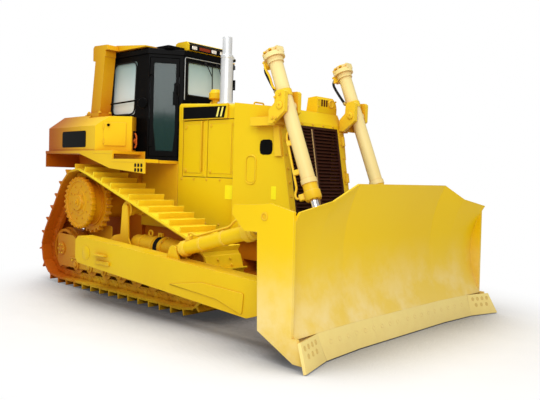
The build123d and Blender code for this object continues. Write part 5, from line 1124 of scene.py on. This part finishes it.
# ------------------------------------------------------------------ operator's seat
# A suspension seat: a cloth cushion and back over foam, each with a piped edge and sewn channels,
# on a pleated rubber bellows. The covers are cut and sewn, then pulled over the foam.


def pad(centre, u, v, w, half, grooves):
    """A crowned cushion: rounded-box latitudes and longitudes whose sides pull in between the
    corners, with its top raised in the middle and sunk along each sewn groove."""
    turn = np.linspace(0, 2 * np.pi, 72, endpoint=False)[None, :]
    rise = np.linspace(-np.pi / 2, np.pi / 2, 26)[:, None]

    def soft(value, power):
        return np.sign(value) * np.abs(value) ** power

    pull = 1 - 0.05 * np.cos(2 * turn) ** 2
    x = half[0] * soft(np.cos(turn), 0.42) * soft(np.cos(rise), 0.5) * pull
    y = half[1] * soft(np.sin(turn), 0.42) * soft(np.cos(rise), 0.5) * pull
    crown = (1 - (x / half[0]) ** 2) * (1 - (y / half[1]) ** 2)
    z = half[2] * soft(np.sin(rise), 0.7) * (0.78 + 0.22 * crown)
    for at in grooves:
        z = z - 0.01 * np.exp(-((x - at) / 0.009) ** 2) * (z > 0)
    rings = (np.asarray(centre) + x[..., None] * np.asarray(u) + y[..., None] * np.asarray(v)
             + z[..., None] * np.asarray(w))
    return shell(rings), tube(rings[13], 0.006, 8, closed=True)


def seat_cloth():
    """Dark woven cloth: two crossing sets of fine waves over a soft mottle."""
    cloth = Finish("seat cloth")
    place = cloth.node("TexCoord", output="Object")
    warp, weft = (cloth.node("TexWave", {"wave_type": "BANDS", "bands_direction": axis},
                             {"Vector": place, "Scale": 95.0, "Distortion": 0.6}, "Fac") for axis in "XY")
    weave = warp * weft
    mottle = cloth.noise(9.0, 4.0)
    shade = cloth.mix(weave * 0.6 + mottle * 0.4, rgb(0.1, 0.1, 0.11), rgb(0.24, 0.24, 0.26))
    bump = cloth.node("Bump", None, {"Strength": 0.35, "Distance": 0.001, "Height": weave})
    return cloth.principled({"Base Color": shade, "Roughness": 0.85, "Sheen Weight": 0.3, "Normal": bump})


cloth = seat_cloth()
cushion, cushion_welt = pad((-1.24, 0, 2.228), FORWARD, LEFT, UP, (0.255, 0.245, 0.066), (-0.1, 0.1))
lean = np.array([-0.139, 0, 0.99])
back, back_welt = pad((-1.472, 0, 2.585), lean, LEFT, (0.99, 0, 0.139), (0.31, 0.24, 0.056),
                      (-0.12, 0.04, 0.19))
for name, part, welt in (("seat_cushion", cushion, cushion_welt), ("seat_back", back, back_welt)):
    made = piece(name, [part], cloth, sharp=80.0)
    piece(name + "_welt", [welt], rubber)
    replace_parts(made, "operator_seat")
levels = np.linspace(1.862, 2.16, 15)
bellows_flat = rect(-1.43, -0.19, -1.07, 0.19, 0.05, 4)
bellows = np.stack([np.concatenate([inset(bellows_flat, 0.016 * (i % 2)),
                                    np.full((len(bellows_flat), 1), level)], 1)
                    for i, level in enumerate(levels)])
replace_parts(piece("seat_bellows", [shell(bellows)], rubber), "operator_seat")

# ------------------------------------------------------------------ roll-over frame
# Two box posts and a deep cross beam, welded from plate and bolted to the tank's pads. Sprayed
# body yellow; cable clips are welded up the back of the posts.

# painted shade: darker in the hollows between posts and cab, and browner towards the back
rops_paint = enamel("rops enamel", colour=rgb(0.93, 0.74, 0.08), dust=0.1, gloss=0.36, crevice_shade=1.0,
                    reach=(-2.6, -1.1), painted_rear_shade=0.9)
dress(rops_paint, "rops_frame")
foot_bolts = np.array([(x, y, 2.472) for x in (-1.975, -1.7) for y in (0.86, 1.025)])
piece("rops_bolts", both(bolts(foot_bolts, UP, 0.04)), bolt_paint)
clip_zs = np.linspace(2.62, 3.12, 5)
clip_at, clip_out = seated("rops_frame", [(-2.6, y, z) for y in (0.93, -0.93) for z in clip_zs], FORWARD)
piece("rops_clips",
      [studs(clip_at, clip_out, ((0.026, -0.004), (0.026, 0.02), (0.018, 0.03), (0.01, 0.034)), 14)],
      satin("clip brown", rgb(0.45, 0.22, 0.07), 0.5))
